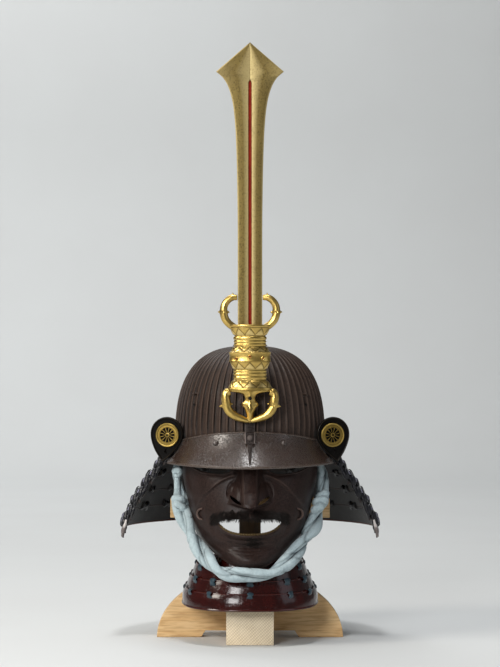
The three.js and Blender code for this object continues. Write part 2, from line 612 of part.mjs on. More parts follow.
// The outline round a spine of points, each with its own breadth.
function ribbonShape(spine, mirror = 1) {
  const sides = spine.map((p, i) => {
    const a = spine[Math.max(i - 1, 0)];
    const b = spine[Math.min(i + 1, spine.length - 1)];
    const length = Math.hypot(b.x - a.x, b.z - a.z);
    const nx = (b.z - a.z) / length;
    const nz = -(b.x - a.x) / length;
    return { out: [mirror * (p.x + nx * p.breadth / 2), p.z + nz * p.breadth / 2],
      back: [mirror * (p.x - nx * p.breadth / 2), p.z - nz * p.breadth / 2] };
  });
  return shapeOf([...sides.map((s) => s.out), ...sides.map((s) => s.back).reverse()]);
}

function headShape() {
  const { half, hole, tipZ, eyeZ, eyeRadius } = HEAD;
  const shape = shapeOf([...half, [0, tipZ], ...half.map(([x, z]) => [-x, z]).reverse()]);
  for (const sign of [1, -1]) {
    shape.holes.push(new THREE.Path(hole.map(([x, z]) => new THREE.Vector2(sign * x, z))));
  }
  shape.holes.push(new THREE.Path().absarc(0, eyeZ, eyeRadius, 0, 2 * Math.PI, true));
  return shape;
}

// A small three-sided point standing on one claw.
function clawPoint(sign, { root, tip }) {
  const { depth, z, halfHeight } = CLAW_POINTS;
  const corners = [[sign * root, z + halfHeight], [sign * tip, z], [sign * root, z - halfHeight]];
  return plate(shapeOf(corners), depth, CREST_Y);
}

function buildHilt() {
  const rows = HILT.profile;
  const bottom = rows[rows.length - 1];
  const profile = [[0, bottom.z], ...[...rows].reverse().map(({ z, half }) => [half, z]), [0, rows[0].z]];
  const body = latheZ(profile, HILT.sides).scale(1, HILT.flatness, 1).translate(0, CREST_Y, 0);
  const head = plate(headShape(), HEAD.depth, CREST_Y, HEAD.bevel, 4);
  const claws = [1, -1].flatMap((sign) => [
    plate(ribbonShape(PRONG.spine, sign), PRONG.depth, CREST_Y, PRONG.bevel),
    clawPoint(sign, CLAW_POINTS.inner), clawPoint(sign, CLAW_POINTS.outer),
  ]);
  const diamond = new THREE.ConeGeometry(DIAMOND.radius, DIAMOND.height, 4).rotateX(Math.PI / 2);
  diamond.scale(1, 1, DIAMOND.stretch).translate(0, DIAMOND.y, DIAMOND.z);
  const whole = join([body, head, ...claws, diamond]);
  const room = BLADE.thickness / 2 + GAP;
  const tangHalf = BLADE.tangHalf + GAP;
  const cupTop = HILT.profile[0].z + 1;
  const tangRoom = block(-tangHalf, tangHalf, CREST_Y - room, CREST_Y + room, BLADE.tangZ - GAP, cupTop);
  const bladeHalf = BLADE.outline[0].half + 2 * GAP;
  const topOfClaws = Math.max(...PRONG.spine.map(({ z }) => z)) + PRONG.depth;
  const bladeRoom = block(
    -bladeHalf, bladeHalf, CREST_Y - room, CREST_Y + room, BLADE.shoulderZ - GAP, topOfClaws,
  );
  add("crest_hilt", cut(whole, tangRoom, bladeRoom), FINISH.gilt);
  HILT_STUD.places.forEach(({ x, z }, index) => {
    const half = interpolate(HILT.profile, "z", z, "half");
    const y = CREST_Y - HILT.flatness * Math.sqrt(half * half - x * x);
    const normal = new THREE.Vector3(x * HILT.flatness, y - CREST_Y, 0).normalize();
    const foot = new THREE.Vector3(x, y, z).addScaledVector(normal, HILT_STUD.seat);
    const stud = dome(HILT_STUD.radius, HILT_STUD.height, 8);
    add(`hilt_stud_${index + 1}`, turnedTo(stud, foot, normal), FINISH.gilt);
  });
}

// ---------------------------------------------------------------- turn-backs

function buildTurnback(side, sign) {
  const { radius, discZ, tipZ, tipX, tipHalf, tipBlunt, dropAngle, wall, bevel, x, y, yaw } = TURNBACK;
  const drop = discZ - tipZ;
  const tip = sign * (tipX - x);
  const shape = new THREE.Shape();
  shape.absarc(0, 0, radius, radians(-dropAngle), radians(180 + dropAngle), false);
  shape.lineTo(tip - tipHalf, -drop + tipBlunt);
  shape.lineTo(tip, -drop);
  shape.lineTo(tip + tipHalf, -drop + tipBlunt);
  const group = new THREE.Group();
  group.position.set(sign * x, y, discZ);
  group.rotation.z = sign * radians(yaw);
  const leather = new THREE.Mesh(plate(shape, wall, 0, bevel, 9), FINISH.blackLacquer());
  leather.name = `turnback_${side}`;
  group.add(leather);

  const { section, sides, thickness, slots, slot } = DISC;
  const { innerRadius, outerRadius, innerHalf, outerHalf } = slot;
  const disc = latheZ(section, sides);
  const wedge = shapeOf([
    [innerRadius, -innerHalf], [outerRadius, -outerHalf], [outerRadius, outerHalf], [innerRadius, innerHalf],
  ]);
  const cutters = Array.from({ length: slots }, (_, i) => {
    const cutter = new THREE.ExtrudeGeometry(wedge, { depth: 3 * thickness, steps: 1, bevelEnabled: false });
    return cutter.translate(0, 0, -thickness).rotateZ((2 * Math.PI * (i + 0.5)) / slots);
  });
  const pierced = cut(disc, ...cutters).rotateX(Math.PI / 2).translate(0, -wall / 2 - GAP, 0);
  const gilt = new THREE.Mesh(pierced, FINISH.gilt());
  gilt.name = `rosette_disc_${side}`;
  group.add(gilt);
  object.add(group);
}

// ---------------------------------------------------------------- neck guard

// u is the angle from the back (0) to the front ends, v the height; offset steps the lames outwards.
function neckSurface(offset) {
  return (u, z) => {
    const half = interpolate(NECK.profile, "z", z, "half") + offset;
    const depth = interpolate(NECK.profile, "z", z, Math.abs(u) <= 90 ? "back" : "front") + offset;
    const sag = Math.max(0, Math.abs(u) - NECK.droopFrom) / NECK.droopSpan;
    const drop = NECK.tipDroop * sag * sag * Math.max(0, (NECK.topZ - z) / (NECK.topZ - NECK.droopFullZ));
    return new THREE.Vector3(half * Math.sin(radians(u)), depth * Math.cos(radians(u)), z - drop);
  };
}

// The angle at which a lame ends in front.
function neckEndAngle(share, z, offset) {
  const frontY = lerp(NECK.frontTopY, NECK.frontBottomY, share);
  const depth = interpolate(NECK.profile, "z", z, "front") + offset;
  return 90 + THREE.MathUtils.radToDeg(Math.asin(-frontY / depth));
}

function buildNeckGuard() {
  for (let i = 0; i < NECK.lames; i += 1) {
    const share = i / (NECK.lames - 1);
    const offset = NECK.step * i;
    const topZ = NECK.topZ - i * NECK.pitch + (i > 0 ? NECK.overlap / 2 : 0);
    const bottomZ = NECK.topZ - (i + 1) * NECK.pitch - NECK.overlap / 2;
    const surface = neckSurface(offset);
    const end = neckEndAngle(share, topZ, offset);
    const us = steps(-end, end, NECK.columns);
    const vs = steps(bottomZ, topZ, 1);
    const options = { away: (p) => new THREE.Vector3(p.x, p.y, NECK.pitch) };
    add(`neck_lame_${i + 1}`, wallOn(surface, us, vs, NECK.wall, options), FINISH.blackLacquer);
    const breadth = THREE.MathUtils.radToDeg(NECK.lacingWidth / interpolate(NECK.profile, "z", topZ, "front"));
    const clear = { ...options, offset: GAP + NECK.lacingWall };
    const hem = i < NECK.lames - 1 ? NECK.overlap + NECK.lacingLap : NECK.lacingHem;
    const edge = end - NECK.lacingEnd;
    for (const [side, sign] of [["left", -1], ["right", 1]]) {
      const lacingUs = [sign * edge, sign * (end - breadth / 2), sign * (end - breadth)].sort((a, b) => a - b);
      const lacing = wallOn(surface, lacingUs, [bottomZ + hem, topZ - 1], NECK.lacingWall, clear);
      add(`edge_lacing_${side}_${i + 1}`, lacing, FINISH.lacing);
    }
  }
}

// ---------------------------------------------------------------- mask

const bell = (t) => Math.exp(-t * t);
const clamp01 = (t) => THREE.MathUtils.clamp(t, 0, 1);

// How far the face stands out from its plain curve at x and z.
function maskRelief(x, z) {
  const ax = Math.abs(x);
  const { nose, wing, fold, cheek, swells } = FACE;
  const downNose = clamp01((nose.topZ - z) / (nose.topZ - nose.tipZ));
  const noseHalf = lerp(nose.bridgeHalf, nose.wingHalf, downNose ** nose.widening);
  const noseRise = lerp(nose.bridgeRise, nose.tipRise, downNose ** nose.rising);
  const overUnderside = clamp01((z - nose.underZ) / nose.underHeight);
  const across = clamp01(1 - (ax / noseHalf) ** nose.edge);
  const noseOut = noseRise * across ** nose.round * overUnderside;
  const wingOut = wing.rise * bell((ax - wing.x) / wing.wide) * bell((z - wing.z) / wing.high) * overUnderside;
  const pastFold = Math.max(0, ax - fold.x);
  const foldZ = fold.z - fold.slope * pastFold - fold.bow * pastFold ** 2;
  const aboveFold = clamp01((z - foldZ) / fold.blend + 0.5);
  const beside = clamp01((ax - cheek.fromX) / cheek.blend);
  const cheekFull = bell((z - foldZ - cheek.aboveFold) / cheek.high) * beside;
  const swell = swells.reduce((sum, s) => sum + s.rise * bell((z - s.z) / s.high) * bell(ax / s.wide), 0);
  return noseOut + wingOut + cheek.rise * aboveFold * cheekFull + swell;
}

// u is the angle from the front, v the share of the height between the lower and upper edges.
function maskPoint(u, v) {
  const a = Math.abs(u);
  const z = lerp(interpolate(MASK.edges, "angle", a, "bottom"), interpolate(MASK.edges, "angle", a, "top"), v);
  return maskFace(u, z);
}

function maskFace(u, z) {
  const half = interpolate(MASK.levels, "z", z, "half");
  const front = interpolate(MASK.levels, "z", z, "front") + MASK.centreY;
  const x = half * roundPower(Math.sin(radians(u)), MASK.power);
  const y = MASK.centreY - front * roundPower(Math.cos(radians(u)), MASK.power);
  return new THREE.Vector3(x, y - maskRelief(x, z), z);
}

// The face at x and z, for pieces that lie on it.
function maskAt(x, z) {
  const half = interpolate(MASK.levels, "z", z, "half");
  const u = THREE.MathUtils.radToDeg(Math.asin(Math.min(1, Math.abs(x) / half) ** (MASK.power / 2)));
  return maskFace(Math.sign(x) * u, z);
}

// The mouth has blunt corners, a nearly straight upper edge and a bowed lower one.
function mouthShape() {
  const { half, cornerZ, topZ, bottomZ, lowerBow, upperBow } = MOUTH;
  const xs = steps(-half, half, MOUTH.steps, (t) => 0.5 - 0.5 * Math.cos(Math.PI * t));
  const share = (x) => Math.abs(x) / half;
  const lower = xs.map((x) => [x, cornerZ + (bottomZ - cornerZ) * (1 - share(x) ** lowerBow)]);
  const rise = topZ - cornerZ;
  const upper = xs.slice(1, -1).map((x) => [x, cornerZ + rise * Math.sqrt(1 - share(x) ** upperBow)]);
  return shapeOf([...lower, ...upper.reverse()]);
}

function buildMask() {
  const { evenShare, endAngle } = MASK;
  const crowded = (t) => 0.5 + 0.5 * (evenShare * (2 * t - 1) + (1 - evenShare) * (2 * t - 1) ** 3);
  const us = steps(-endAngle, endAngle, MASK.columns, crowded);
  const away = (p) => new THREE.Vector3(p.x, p.y - MASK.centreY, 0);
  const face = wallOn(maskPoint, us, MASK.rows, MASK.wall, { away });
  const mouth = plate(mouthShape(), FACE_CUT.depth, FACE_CUT.y);
  const nostrils = [1, -1].map((sign) => {
    return plate(shapeOf(NOSTRIL.map(([x, z]) => [sign * x, z])), FACE_CUT.depth, FACE_CUT.y);
  });
  add("mask", cut(face, mouth, ...nostrils), FINISH.russetIron);
  buildMoustache();
  buildMaskHooks();
}

function buildMoustache() {
  const { half, thickness, edgeShare, columns, rows, seat, back } = MOUSTACHE;
  const { droop, droopBow, midBreadth, endBreadth } = MOUSTACHE;
  const surface = (u, v) => {
    const breadth = lerp(midBreadth, endBreadth, u * u);
    return maskAt(half * u, MOUSTACHE.z - droop * Math.abs(u) ** droopBow + v * breadth);
  };
  const away = () => new THREE.Vector3(0, -1, 0);
  const geometry = wallOn(surface, steps(-1, 1, columns), rows, back, { away, offset: seat });
  // the outer grid comes first in the geometry, so it is pushed out to the full body of the hair
  const position = geometry.attributes.position;
  for (let i = 0; i < (columns + 1) * rows.length; i += 1) {
    const row = i % rows.length;
    const full = row === 0 || row === rows.length - 1 ? thickness * edgeShare : thickness;
    const fromMiddle = Math.abs((2 * Math.floor(i / rows.length)) / columns - 1);
    const taper = 1 - fromMiddle ** 3;
    position.setY(i, position.getY(i) - full * taper * (1 + taper) / 2);
  }
  add("moustache", geometry, FINISH.hair);
}

function buildMaskHooks() {
  const { radius, neck, knob, knobFrom, knobTo, length, seat } = CHIN_PEG;
  for (const [side, sign] of [["left", -1], ["right", 1]]) {
    const route = CHEEK_HOOK.bends.map((angle) => {
      const x = CHEEK_HOOK.x - CHEEK_HOOK.radius * (1 - Math.cos(radians(angle)));
      const z = CHEEK_HOOK.z + CHEEK_HOOK.radius * Math.sin(radians(angle));
      const face = maskAt(sign * (x - CHEEK_HOOK.inset), z);
      return { x: face.x, y: face.y - CHEEK_HOOK.standOff, z: face.z };
    });
    add(`cheek_hook_${side}`, tube(route, CHEEK_HOOK.rod, 6, 8), FINISH.russetIron);
    const root = maskAt(sign * CHIN_PEG.x, CHIN_PEG.z);
    const [out, front, up] = CHIN_PEG.outward;
    const outward = new THREE.Vector3(sign * out, front, up).normalize();
    const foot = root.addScaledVector(outward, seat);
    const profile = [[0, 0], [radius, 0], [radius, neck], [knob, knobFrom], [knob, knobTo], [0, length]];
    add(`chin_peg_${side}`, turnedTo(latheZ(profile, 8), foot, outward), FINISH.russetIron);
  }
}

// ---------------------------------------------------------------- throat guard

function throatSurface(offset) {
  return (u, v) => {
    const half = interpolate(THROAT.profile, "z", v, "half") + offset;
    const front = interpolate(THROAT.profile, "z", v, "front") + offset + THROAT.centreY;
    const lift = THROAT.endRise * (Math.abs(u) / THROAT.endAngle) ** 4;
    const x = half * roundPower(Math.sin(radians(u)), THROAT.power);
    const y = THROAT.centreY - front * roundPower(Math.cos(radians(u)), THROAT.power);
    return new THREE.Vector3(x, y, v + lift);
  };
}

function buildThroatGuard() {
  for (let i = 0; i < THROAT.lames; i += 1) {
    const fromBottom = THROAT.lames - 1 - i;
    const bottomZ = THROAT.bottomZ + fromBottom * THROAT.pitch;
    const topZ = bottomZ + THROAT.pitch + THROAT.overlap;
    const surface = throatSurface(-THROAT.step * fromBottom);
    const us = steps(-THROAT.endAngle, THROAT.endAngle, THROAT.columns);
    const away = (p) => new THREE.Vector3(p.x, p.y - THROAT.centreY, 0);
    const lame = wallOn(surface, us, [bottomZ, topZ], THROAT.wall, { away });
    add(`throat_lame_${i + 1}`, lame, FINISH.throatLacquer);
  }
}

// ---------------------------------------------------------------- chin cord

function buildChinCord() {
  for (const { name, radius, steps: stepCount, route } of CORD.strands) {
    add(name, tube(route, radius, CORD.sides, stepCount), FINISH.cloth);
  }
}

// ---------------------------------------------------------------- stand

function buildStand() {
  const { half, height, topZ, thickness, footHalf, footHeight, chamfer } = BOARD;
  const topAngle = Math.asin(topZ / height);
  const curve = steps(0, topAngle, BOARD.arcSteps).map((a) => [half * Math.cos(a), height * Math.sin(a)]);
  const outline = [
    ...curve, ...curve.map(([x, z]) => [-x, z]).reverse(),
    [-footHalf, 0], [-footHalf + chamfer, footHeight], [footHalf - chamfer, footHeight], [footHalf, 0],
  ];
  const board = plate(shapeOf(outline), thickness, thickness / 2);
  const beamRoom = BEAM.half + GAP;
  const notch = block(-beamRoom, beamRoom, -thickness, 2 * thickness, -BEAM.height, BEAM.height + GAP);
  add("base_board", cut(board, notch), FINISH.wood);
  add("base_beam", block(-BEAM.half, BEAM.half, BEAM.frontY, BEAM.backY, 0, BEAM.height), FINISH.wood);
  const post = block(-POST.half, POST.half, POST.frontY, POST.backY, BEAM.height + GAP, POST.topZ);
  add("post", post, FINISH.wood);
  const { half: barHalf, bottomZ, topZ: barTopZ, frontY } = CROSSBAR;
  add("crossbar", block(-barHalf, barHalf, frontY, POST.frontY - GAP, bottomZ, barTopZ), FINISH.wood);
  const headBlock = latheZ(HEAD_BLOCK.section, HEAD_BLOCK.sides).scale(1, BOWL.halfLength / BOWL.halfWidth, 1);
  add("head_block", headBlock, FINISH.wood);
}

buildBowl();
buildCrownRing();
buildPins();
buildPeak();
buildBracket();
buildBlade();
buildHilt();
buildTurnback("left", -1);
buildTurnback("right", 1);
buildNeckGuard();
buildMask();
buildThroatGuard();
buildChinCord();
buildStand();

export default object;
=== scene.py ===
"""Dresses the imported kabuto: helmet, mask, throat guard, chin cord and wooden stand.

Sizes are in millimetres in the model's own frame: +Z up, the front towards -Y, the wearer's left at +X.
"""
import logging
import math
from dataclasses import dataclass, field
from enum import Enum
from typing import Any, Callable, Iterable, Mapping, Sequence

import bpy
import numpy as np
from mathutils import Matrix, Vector


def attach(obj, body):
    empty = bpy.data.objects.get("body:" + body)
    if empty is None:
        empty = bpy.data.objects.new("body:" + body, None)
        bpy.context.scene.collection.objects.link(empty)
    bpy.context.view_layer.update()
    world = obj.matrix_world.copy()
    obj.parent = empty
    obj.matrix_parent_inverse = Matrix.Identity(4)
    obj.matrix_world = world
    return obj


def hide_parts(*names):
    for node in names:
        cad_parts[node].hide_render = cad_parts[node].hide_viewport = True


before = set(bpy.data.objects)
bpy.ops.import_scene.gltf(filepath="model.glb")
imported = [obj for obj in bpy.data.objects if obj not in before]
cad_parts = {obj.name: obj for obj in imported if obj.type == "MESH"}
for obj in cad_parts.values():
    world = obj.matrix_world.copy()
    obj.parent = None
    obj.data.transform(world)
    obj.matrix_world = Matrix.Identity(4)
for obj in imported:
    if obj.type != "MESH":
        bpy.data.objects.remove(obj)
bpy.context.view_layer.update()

MM = 0.001  # Blender's metres in a millimetre
EDGE_BULGE = 0.35  # how far a wall's rounded edge stands out, as a share of its thickness
BODY = "root"  # nothing on the ensemble moves, so every piece rides on one body

Array = np.ndarray
Pairs = tuple[tuple[float, float], ...]
Route = tuple[tuple[float, float, float], ...]
Warp = Callable[[Array, Array], Array]
Object = bpy.types.Object
Socket = bpy.types.NodeSocket
Tree = bpy.types.NodeTree
log = logging.getLogger("kabuto")


# Numbers and curves


@dataclass(frozen=True)
class Curve:
    """A smooth curve through pairs of numbers, with no swing past any of them."""

    pairs: Pairs

    def __call__(self, value: Any) -> Array:
        """Reads the curve.

        Args:
            value: where to read it; past either end the end's own value holds.

        Returns:
            The curve's height at each value.
        """
        keys, heights = np.array(sorted(self.pairs)).T
        slope = np.diff(heights) / np.diff(keys)
        before, after = slope[:-1], slope[1:]
        same_way = before * after > 0
        tangent = np.concatenate([slope[:1], np.zeros(len(before)), slope[-1:]])
        mean = 2 * before * after / np.where(same_way, before + after, 1)
        tangent[1:-1] = np.where(same_way, mean, 0)
        at = np.clip(np.asarray(value, float), keys[0], keys[-1])
        i = np.clip(np.searchsorted(keys, at) - 1, 0, len(keys) - 2)
        width = keys[i + 1] - keys[i]
        t = (at - keys[i]) / width
        rise = (1 + 2 * t) * (1 - t) ** 2 * heights[i] + t * t * (3 - 2 * t) * heights[i + 1]
        lean = t * (1 - t) ** 2 * tangent[i] - t * t * (1 - t) * tangent[i + 1]
        return rise + width * lean


def lerp(low: Any, high: Any, share: Any) -> Any:
    """Goes from low to high by a share."""
    return low + (high - low) * share


def eased(value: Any, low: float, high: float) -> Array:
    """Rises smoothly from 0 at low to 1 at high."""
    t = np.clip((np.asarray(value, float) - low) / (high - low), 0, 1)
    return t * t * (3 - 2 * t)


def bell(value: Any) -> Array:
    """A soft bump, 1 high at 0."""
    return np.exp(-np.asarray(value) ** 2)


def round_power(value: Any, power: float) -> Array:
    """A sine or cosine squared off as a superellipse of that power needs."""
    return np.sign(value) * np.abs(value) ** (2 / power)


def sin_deg(angle: Any) -> Array:
    """Sine of an angle in degrees."""
    return np.sin(np.radians(angle))


def cos_deg(angle: Any) -> Array:
    """Cosine of an angle in degrees."""
    return np.cos(np.radians(angle))


def unit(vectors: Any) -> Array:
    """Vectors made one long."""
    vectors = np.asarray(vectors, float)
    return vectors / np.maximum(np.linalg.norm(vectors, axis=-1, keepdims=True), 1e-12)


def level(vectors: Any) -> Array:
    """Vectors laid level and made one long."""
    return unit(np.asarray(vectors, float) * (1, 1, 0))


def all_round(count: int) -> Array:
    """Evenly spaced angles once round, the last one short of the first."""
    return np.linspace(0, 2 * math.pi, count, endpoint=False)


def lengths_along(path: Array) -> Array:
    """How far along a path each of its points is."""
    return np.concatenate([[0], np.cumsum(np.linalg.norm(np.diff(path, axis=0), axis=1))])


def evenly(path: Array, count: int, endpoint: bool = True) -> Array:
    """Evenly spaced points along a path."""
    run = lengths_along(path)
    even = np.linspace(0, run[-1], count, endpoint=endpoint)
    return np.stack([np.interp(even, run, column) for column in path.T], axis=1)


def stacked(x: Any, y: Any, z: Any) -> Array:
    """Points from their three coordinates, each a number or an array."""
    return np.stack(np.broadcast_arrays(x, y, z), axis=-1).astype(float)


def smooth_path(points: Any, count: int) -> Array:
    """A line of evenly spaced points on a smooth curve through some points.

    Args:
        points: the points it passes.
        count: how many points it gets.

    Returns:
        The points, in rows.
    """
    through = np.asarray(points, float)
    roots = np.linalg.norm(np.diff(through, axis=0), axis=1) ** 0.5
    knots = np.concatenate([[0], np.cumsum(roots)])
    tangent = np.gradient(through, knots, axis=0)
    fine = np.linspace(0, knots[-1], 16 * len(through))
    i = np.clip(np.searchsorted(knots, fine) - 1, 0, len(knots) - 2)
    width = (knots[i + 1] - knots[i])[:, None]
    t = (fine - knots[i])[:, None] / width
    curve = (1 + 2 * t) * (1 - t) ** 2 * through[i] + t * t * (3 - 2 * t) * through[i + 1]
    curve += width * (t * (1 - t) ** 2 * tangent[i] - t * t * (1 - t) * tangent[i + 1])
    return evenly(curve, count)


# Solids


@dataclass
class Solid:
    """A closed skin in millimetres, with a named number at each point where a finish wants one."""

    points: Array
    faces: list[tuple[int, ...]]
    marks: dict[str, Array] = field(default_factory=dict)
    turned: bool = False  # its faces are known to point outwards

    def __post_init__(self) -> None:
        """Turns the skin so that its faces point outwards."""
        self.points = np.asarray(self.points, float).reshape(-1, 3)
        if self.turned:
            return
        centre = self.points.mean(axis=0)
        volume = 0.0
        for size in {len(f) for f in self.faces}:
            corners = self.points[np.array([f for f in self.faces if len(f) == size])] - centre
            for k in range(1, size - 1):
                square = np.cross(corners[:, k], corners[:, k + 1])
                volume += np.einsum("ij,ij->", corners[:, 0], square)
        if volume < 0:
            self.faces = [tuple(reversed(f)) for f in self.faces]

    def marked(self, name: str, value: float) -> "Solid":
        """The same solid, with one number all over it."""
        self.marks[name] = np.full(len(self.points), value)
        return self

    def moved(self, change: Callable[[Array], Array]) -> "Solid":
        """A copy with its points changed."""
        return Solid(change(self.points.copy()), list(self.faces), dict(self.marks))

    def mirrored(self) -> "Solid":
        """A copy on the other side of the middle."""
        return self.moved(lambda p: p * (-1, 1, 1))


def quads(
    rows: int, columns: int, wrap_rows: bool = False, wrap_columns: bool = False,
) -> list[tuple[int, ...]]:
    """Faces of a grid of points numbered row by row, left open or closed round either way."""
    i, j = np.meshgrid(
        np.arange(rows if wrap_rows else rows - 1),
        np.arange(columns if wrap_columns else columns - 1), indexing="ij",
    )
    next_i, next_j = (i + 1) % rows, (j + 1) % columns
    corners = [k * columns + m for k, m in ((i, j), (next_i, j), (next_i, next_j), (i, next_j))]
    return [tuple(face) for face in np.stack(corners, axis=-1).reshape(-1, 4).tolist()]


class Ends(Enum):
    """How a skin through rings is closed."""

    POINT = "each end runs to a point in its middle"
    FLAT = "each end is one flat face"
    LOOP = "the last ring joins the first"


def ring_solid(
    rings: Array, marks: Mapping[str, Array] | None = None, ends: Ends = Ends.POINT,
) -> Solid:
    """A closed skin through rings of equal count.

    Args:
        rings: points as (ring, place round it, 3).
        marks: numbers as (ring, place round it).
        ends: how it is closed.

    Returns:
        The closed solid.
    """
    count, around = rings.shape[:2]
    points = rings.reshape(-1, 3)
    named = {name: np.asarray(values, float).ravel() for name, values in (marks or {}).items()}
    faces = quads(count, around, wrap_rows=ends is Ends.LOOP, wrap_columns=True)
    if ends is Ends.FLAT:
        faces += [tuple(reversed(range(around))), tuple(range((count - 1) * around, count * around))]
    if ends is Ends.POINT:
        first, last = len(points), len(points) + 1
        points = np.vstack([points, rings[0].mean(axis=0), rings[-1].mean(axis=0)])
        top = (count - 1) * around
        faces += [((k + 1) % around, k, first) for k in range(around)]
        faces += [(top + k, top + (k + 1) % around, last) for k in range(around)]
        for name, values in named.items():
            named[name] = np.concatenate([values, [values[:around].mean(), values[-around:].mean()]])
    return Solid(points, faces, named)


def normals_of(grid: Array, away: Array) -> Array:
    """Directions square to a grid of points, on the side that away points to."""
    across, along = np.gradient(grid, axis=0), np.gradient(grid, axis=1)
    normal = unit(np.cross(across, along))
    facing = np.einsum("ijk,ijk->ij", normal, np.broadcast_to(away, grid.shape))
    return normal * np.where(facing < 0, -1, 1)[..., None]


def wall(
    face: Array, away: Array, thickness: float, lift: Any = 0.0,
    marks: Mapping[str, Array] | None = None,
) -> Solid:
    """A wall behind a grid of points, with rounded edges all round.

    Args:
        face: the grid, as (row, column, 3).
        away: which way its face looks.
        thickness: of the wall.
        lift: how far the face stands off the grid, as a number or one for each point.
        marks: numbers for its face, which the back repeats.

    Returns:
        The closed wall.
    """
    normal = normals_of(face, away)
    rows, columns = face.shape[:2]
    count = rows * columns
    out = face + normal * np.broadcast_to(lift, (rows, columns))[..., None]
    back = out - normal * thickness
    faces = quads(rows, columns)
    faces += [tuple(count + k for k in reversed(f)) for f in faces]
    edge = [(0, j) for j in range(columns)] + [(i, columns - 1) for i in range(1, rows)]
    edge += [(rows - 1, j) for j in range(columns - 2, -1, -1)] + [(i, 0) for i in range(rows - 2, 0, -1)]
    ids = [i * columns + j for i, j in edge]
    middle = (out + back) / 2
    rim = np.array([middle[i, j] for i, j in edge])
    inner = [middle[min(max(i, 1), rows - 2), min(max(j, 1), columns - 2)] for i, j in edge]
    rim = rim + unit(rim - np.array(inner)) * (EDGE_BULGE * thickness)
    start, size = 2 * count, len(edge)
    for k in range(size):
        n = (k + 1) % size
        faces.append((ids[n], ids[k], start + k, start + n))
        faces.append((start + n, start + k, count + ids[k], count + ids[n]))
    named = {}
    for name, values in (marks or {}).items():
        flat = np.broadcast_to(values, (rows, columns)).ravel()
        named[name] = np.concatenate([flat, flat, flat[ids]])
    return Solid(np.vstack([out.reshape(-1, 3), back.reshape(-1, 3), rim]), faces, named)


def frames_along(path: Array, up: Sequence[float] | None = None) -> tuple[Array, Array]:
    """Two directions square to a path at each of its points.

    Args:
        path: its points.
        up: a direction that the first keeps near; without one they turn as little as they can.

    Returns:
        The two directions, in rows.
    """
    tangent = unit(np.gradient(path, axis=0))
    if up is not None:
        first = unit(np.asarray(up, float) - tangent * (tangent @ np.asarray(up, float))[:, None])
    else:
        start = np.eye(3)[np.argmin(np.abs(tangent[0]))]
        turned = [unit(start - tangent[0] * (start @ tangent[0]))]
        for row in tangent[1:]:
            turned.append(unit(turned[-1] - row * (turned[-1] @ row)))
        first = np.array(turned)
    return first, np.cross(tangent, first)


def rings_about(path: Array, one: Array, two: Array, up: Sequence[float] | None = None) -> Array:
    """Rings about a path, from how far each point stands along its two square directions."""
    first, second = frames_along(path, up)
    return path[:, None] + one[..., None] * first[:, None] + two[..., None] * second[:, None]


def sweep(
    path: Array, radius: Any, sides: int = 12, across: float = 1.0,
    up: Sequence[float] | None = None, shape: Warp | None = None, closed: bool = False,
) -> Solid:
    """A round or oval bar along a path.

    Args:
        path: its centre line.
        radius: one number, or one for each point of the path.
        sides: points round it.
        across: its breadth along the second direction, as a share of the first.
        up: the direction that its first breadth keeps near.
        shape: its radius as a share, from the angle round it and the length along it.
        closed: joins the ends into a loop.

    Returns:
        The bar, which carries its own straightened coordinates as marks.
    """
    angle, run = all_round(sides)[None, :], lengths_along(path)[:, None]
    size = np.broadcast_to(np.reshape(radius, (-1, 1)), (len(path), sides)).astype(float)
    if shape is not None:
        size = size * shape(angle, run)
    one, two = size * np.cos(angle), size * np.sin(angle) * across
    marks = {"straight_x": one, "straight_y": two, "straight_z": np.broadcast_to(run, one.shape)}
    return ring_solid(rings_about(path, one, two, up), marks, Ends.LOOP if closed else Ends.POINT)


def revolve(profile: Any, sides: int, lobes: Warp | None = None, ends: Ends = Ends.POINT) -> Solid:
    """A turned solid about Z.

    Args:
        profile: pairs of radius and height, bottom first.
        sides: points round it.
        lobes: a radius share from the angle and the height, for what isn't round.
        ends: how it is closed.

    Returns:
        The solid.
    """
    radius, height = np.asarray(profile, float).T[:, :, None]
    angle = all_round(sides)[None, :]
    reach = radius * (lobes(angle, height) if lobes else 1.0) + 0 * angle
    return ring_solid(stacked(reach * np.cos(angle), reach * np.sin(angle), height), ends=ends)


def turned_to(solid: Solid, place: Any, facing: Any) -> Solid:
    """A copy of a solid made about +Z, set at a place and facing a way."""
    z_axis = unit(facing)
    side = np.array([0.0, 0.0, 1.0]) if abs(z_axis[2]) < 0.9 else np.array([0.0, -1.0, 0.0])
    x_axis = unit(np.cross(side, z_axis))
    turn = np.stack([x_axis, np.cross(z_axis, x_axis), z_axis])
    return solid.moved(lambda p: p @ turn + np.asarray(place, float))


def dome(radius: float, height: float, sides: int = 16, dimple: float = 0.0) -> Solid:
    """A hammered rivet head on z = 0, with a dimple in its middle if one is asked for."""
    shares = ((0.97, 0.3), (0.8, 0.68), (0.52, 0.92))
    profile = [(radius * 0.9, -0.6), (radius, 0)] + [(radius * wide, height * up) for wide, up in shares]
    return revolve(profile + [(radius * wide, height - dimple) for wide in (0.25, 0.02)], sides)


